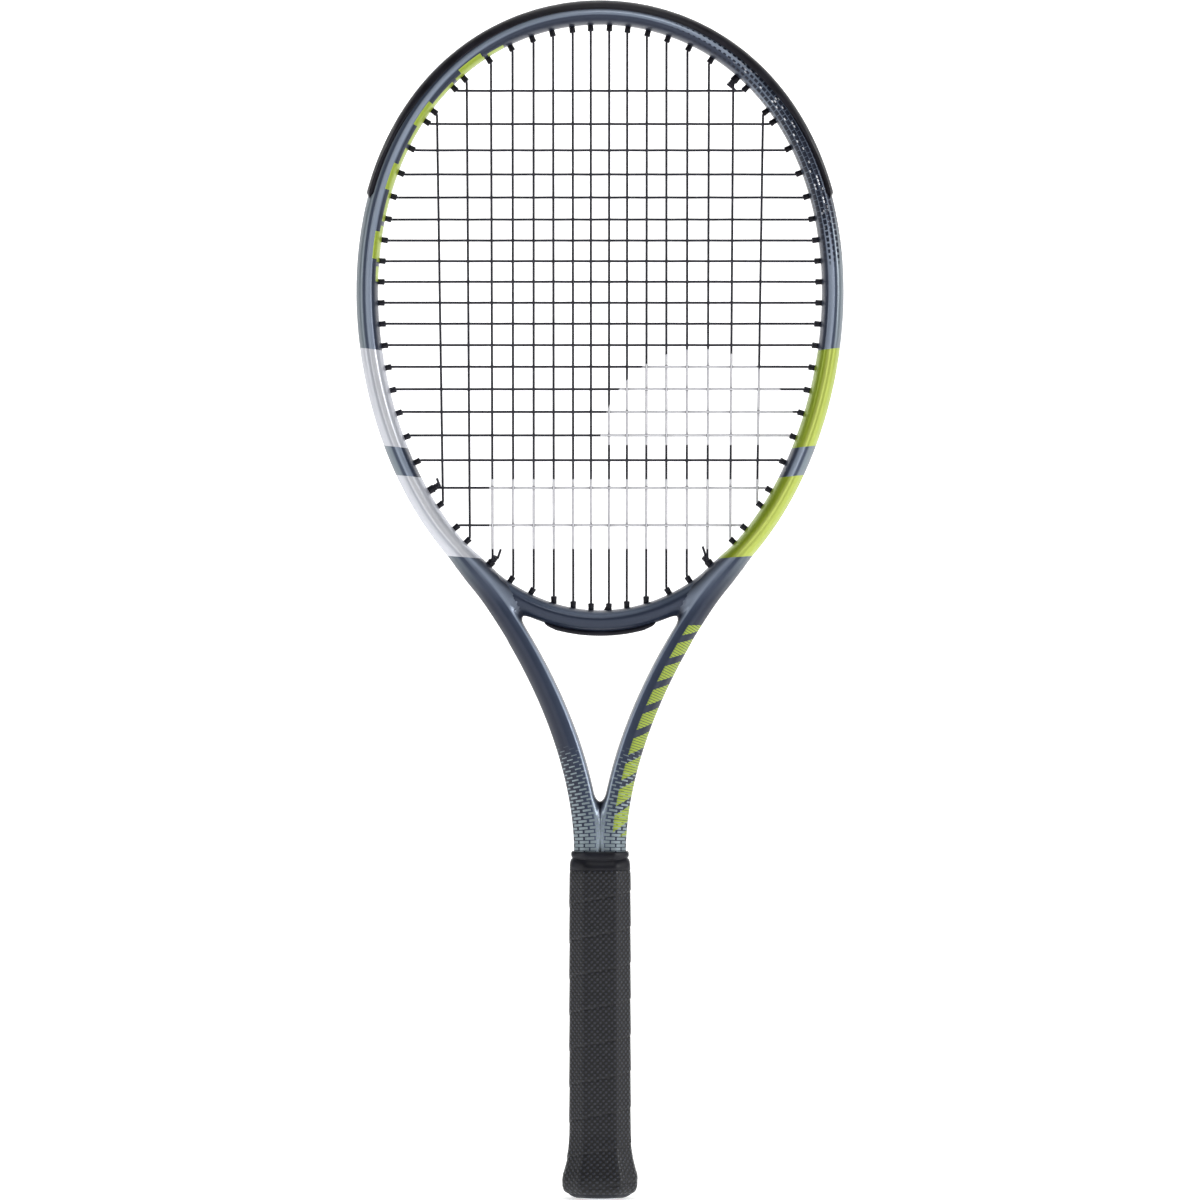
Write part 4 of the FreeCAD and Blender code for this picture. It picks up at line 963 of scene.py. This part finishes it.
def round_loop(count):
    """A circle of radius 1, from an eight-sided loop softened until it is nearly round."""
    ring = eight_sided(count, 200)
    return ring / np.hypot(*ring.T)[:, None]


def stacked(loop, z, wide, deep, swell=0.0):
    """Rings of a loop scaled to half sizes wide and deep at heights z, plus swell along each point's way out."""
    x, y = loop[None, :, 0] * wide[:, None], loop[None, :, 1] * deep[:, None]
    grow = 1 + swell / np.hypot(x, y)
    return np.stack([x * grow, y * grow, np.broadcast_to(z[:, None], x.shape)], -1)


# the grip's height, half width and half depth at levels from the butt's flare to the tape at its top
GRIP_LEVELS = np.array([(2.4, 17.6, 16.1), (3.2, 19.2, 17.7), (4.6, 20.5, 19.0), (7.0, 21.3, 19.8),
                        (10.5, 21.5, 20.0), (13.5, 21.1, 19.6), (17.5, 19.9, 18.4), (22.0, 18.9, 17.4),
                        (28.0, 18.0, 16.5), (36.0, 17.5, 16.0), (185.4, 17.4, 15.9), (190.8, 16.3, 14.8)])
SEAM_PITCH, FIRST_SEAM_Z, MEAN_RADIUS = 20.6, 11.9, 16.6


def grip_piece():
    """Wound tape round the handle's eight sides, which swells by 0.32 mm over each turn and dips at seams.

    turn = (z - first seam) / pitch - angle / 2 pi, and where it is whole is a seam: a groove exp(-(mm / 0.55)^2).
    """
    loop = eight_sided(104, 3)
    z = np.linspace(2.4, 190.6, 330)
    wide, deep = (np.interp(z, GRIP_LEVELS[:, 0], GRIP_LEVELS[:, k]) for k in (1, 2))
    turn = (z[:, None] - FIRST_SEAM_Z) / SEAM_PITCH - np.arctan2(loop[:, 1], loop[:, 0]) / (2 * math.pi)
    groove = np.exp(-((turn - np.round(turn)) * SEAM_PITCH / 0.55) ** 2)
    swell = 0.32 * (1 - (turn - np.floor(turn))) - 0.4 * groove
    rings = stacked(loop, z, wide, deep, swell)
    steps = np.hypot(*(np.roll(loop, -1, 0) - loop).T) * MEAN_RADIUS
    around = np.concatenate([[0], np.cumsum(steps)[:-1]])
    around = np.abs(around - around[loop[:, 1].argmin()])
    # the seams' shadow is stronger on the side that faces right
    shade = groove * (0.25 + 0.75 * (loop[:, 0] > 0.2))
    marks = {"around": np.concatenate([np.tile(around, len(z)), [0, 0]]),
             "seam": np.concatenate([shade.ravel(), [0, 0]])}
    piece("wound_grip", [shell(rings)], grip_finish(), "racket", ["base_grip"], marks)


def cap_piece():
    """Butt cap: a round underside with a recess for the badge, and the eight-sided flare under the grip."""
    under = np.array([(0.9, 10.0, 10.0), (0.9, 10.8, 10.8), (0.15, 11.2, 11.0), (0.0, 11.9, 11.4)])
    flare = np.array([(0.25, 13.6, 12.6), (0.9, 15.6, 14.3), (1.9, 17.3, 15.9), (3.4, 18.6, 17.2),
                      (6.0, 19.2, 17.8), (12.0, 17.9, 16.4), (22.0, 16.2, 14.7), (33.5, 15.6, 14.1)])
    rings = np.concatenate([stacked(round_loop(96), *under.T), stacked(eight_sided(96, 3), *flare.T)])
    finish = nylon_finish("moulded_nylon_cap", "#191b24", "#262934", 0.45)
    piece("butt_cap_moulding", [shell(rings)], finish, "racket", ["butt_cap"])


def badge_piece():
    """A turned disc: height against radius, with two raised rings round a low dome."""
    z, radius = np.array([(1.0, 10.3), (0.35, 10.4), (0.15, 10.1), (0.15, 9.3), (0.4, 9.0), (0.4, 7.2),
                          (0.15, 6.9), (0.15, 6.3), (0.4, 6.0), (0.3, 3.0), (0.25, 0.6)]).T
    # moulded plastic with a satin skin gives one soft highlight
    finish = mottled_finish("moulded_badge_satin", "TexNoise", {"Scale": 250.0, "Detail": 3.0},
                            [(0.3, "#b9c4cc"), (0.7, "#cfd6dc")], 0.00003, Roughness=0.35, IOR=1.5)
    rings = stacked(round_loop(72), z, radius, radius)
    piece("butt_badge_disc", [shell(rings)], finish, "racket", ["butt_badge"])


def collar_piece():
    """Rubber collar: a skirt, a crease that dips by 1.6 (1 - x^2) at the front and back, and a rolled lip.

    Its bore is the curve |x|^2.6 + |y|^2.6 = 1, scaled to the shaft.
    """
    loop = eight_sided(96, 5)
    bore = loop / np.hypot(*loop.T)[:, None]
    bore /= (np.abs(bore) ** 2.6).sum(1)[:, None] ** (1 / 2.6)
    level = np.array([(187.25, 17.1, 15.7), (187.6, 17.45, 16.05), (190.5, 17.3, 15.6), (192.4, 17.0, 15.0),
                      (193.4, 16.6, 14.5), (194.0, 16.0, 13.7), (194.5, 15.85, 13.4), (195.0, 16.3, 13.9),
                      (196.0, 16.6, 14.2), (197.2, 16.5, 14.1), (197.8, 16.2, 13.8), (198.0, 16.0, 13.4)])
    inside = np.array([(197.95, 15.85, 12.9), (197.0, 15.6, 12.6), (192.0, 15.6, 12.6), (187.6, 15.6, 12.6)])
    rings = stacked(loop, *level.T)
    dip = 1.6 * (1 - np.clip(np.abs(loop[:, 0]) / 0.95, 0, 1) ** 2)
    rings[..., 2] -= np.interp(level[:, 0], [189.0, 193.5, 195.5, 197.0], [0, 1, 1, 0.0])[:, None] * dip
    rings = np.concatenate([rings, stacked(bore, *inside.T)])
    points, triangles = rings.reshape(-1, 3), tube_triangles(len(rings), len(loop), ring=True)
    finish = nylon_finish("moulded_rubber_collar", "#0d0e15", "#161822", 0.42)
    piece("rubber_collar", [(points, outward(points, triangles))], finish, "collar", ["grip_collar"])


frame_piece()
bumper_piece()
strip_pieces(nylon_finish("moulded_nylon_grommets", "#12121b", "#1d1d29", 0.4))
strings()
grip_piece()
cap_piece()
badge_piece()
collar_piece()

# rigid foam with its moulded skin is cream, matt and pitted; zinc-plated wire is bright, with small drawn lines
foam = mottled_finish("rigid_polyurethane_foam", "TexVoronoi", {"Scale": 900.0},
                      [(0.0, "#a99f86"), (0.6, "#d8cfb6")], 0.0001, Roughness=0.75)
steel = mottled_finish("zinc_plated_steel", "TexNoise", {"Scale": 900.0},
                       [(0.3, "#b3b7bb"), (0.7, "#d6d9dc")], 0.00003, Metallic=1.0, Roughness=0.3)
tape = nylon_finish("woven_finishing_tape", "#15161d", "#20222b", 0.5)
for node, finish in (("front_pallet_half", foam), ("rear_pallet_half", foam), ("cap_staples", steel),
                     ("grip_tack", steel), ("finishing_tape", tape)):
    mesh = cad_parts[node].data
    mesh.materials.clear()
    mesh.materials.append(finish)


# ---- floor, backdrop and light ----
def backdrop():
    """A pale floor that curves up into a wall behind: a profile in y and z carried along x."""
    turn = np.linspace(0, math.pi / 2, 24)
    y = np.concatenate([[-6.0, 1.2], 1.2 + 0.8 * np.sin(turn), [2.0]])
    z = np.concatenate([[0.0, 0.0], 0.8 - 0.8 * np.cos(turn), [4.0]]) - 0.0004
    points = np.stack([np.stack([x + 0 * y, y, z], -1) for x in (-4.0, 4.0)]).reshape(-1, 3)
    n, k = len(y), np.arange(len(y) - 1)
    mesh = bpy.data.meshes.new("backdrop")
    mesh.from_pydata(points.tolist(), [], np.stack([k, k + n, k + n + 1, k + 1], -1).tolist())
    mesh.polygons.foreach_set("use_smooth", np.ones(len(mesh.polygons), bool))
    made, tree, shader = finish_of("white_studio_paper", Roughness=0.9, Emission_Strength=0.60)
    shader.inputs["Emission Color"].default_value = colour("#ffffff")
    fibre = add(tree, "TexNoise", {"Vector": add(tree, "TexCoord").node.outputs["Object"], "Scale": 40.0})
    connect(tree, shader, Base_Color=add(tree, "ValToRGB", {0: fibre}, [(0.3, "#f7f7f8"), (0.7, "#ffffff")]))
    mesh.materials.append(made)
    paper = bpy.data.objects.new("backdrop", mesh)
    bpy.context.scene.collection.objects.link(paper)


def lamp(name, place, aim, size, power):
    """A soft square lamp at a place, turned to shine at a point."""
    light = bpy.data.lights.new(name, "AREA")
    light.shape, light.size, light.energy = "SQUARE", size, power
    made = bpy.data.objects.new(name, light)
    made.location = place
    x, y, z = np.subtract(aim, place)
    made.rotation_euler = (math.atan2(math.hypot(x, y), -z), 0, math.atan2(-x, y))
    bpy.context.scene.collection.objects.link(made)


backdrop()
lamp("key_from_the_right", (2.3, -0.9, 0.9), (0, 0, 0.35), 0.9, 24.0)
lamp("fill_from_the_left", (-2.2, -0.8, 0.7), (0, 0, 0.35), 0.9, 9.0)
lamp("high_front", (0.5, -2.0, 2.9), (0, 0, 0.35), 1.2, 17.0)
lamp("top_light", (0.0, -0.4, 2.4), (0, 0, 0.3), 1.2, 5.0)
lamp("wall_light", (0.0, 0.9, 2.6), (0, 1.9, 0.6), 1.5, 12.0)
world = bpy.data.worlds.new("soft_studio")
world.use_nodes = True
sky = world.node_tree.nodes["Background"]
sky.inputs["Color"].default_value = colour("#ffffff")
sky.inputs["Strength"].default_value = 0.12
bpy.context.scene.world = world
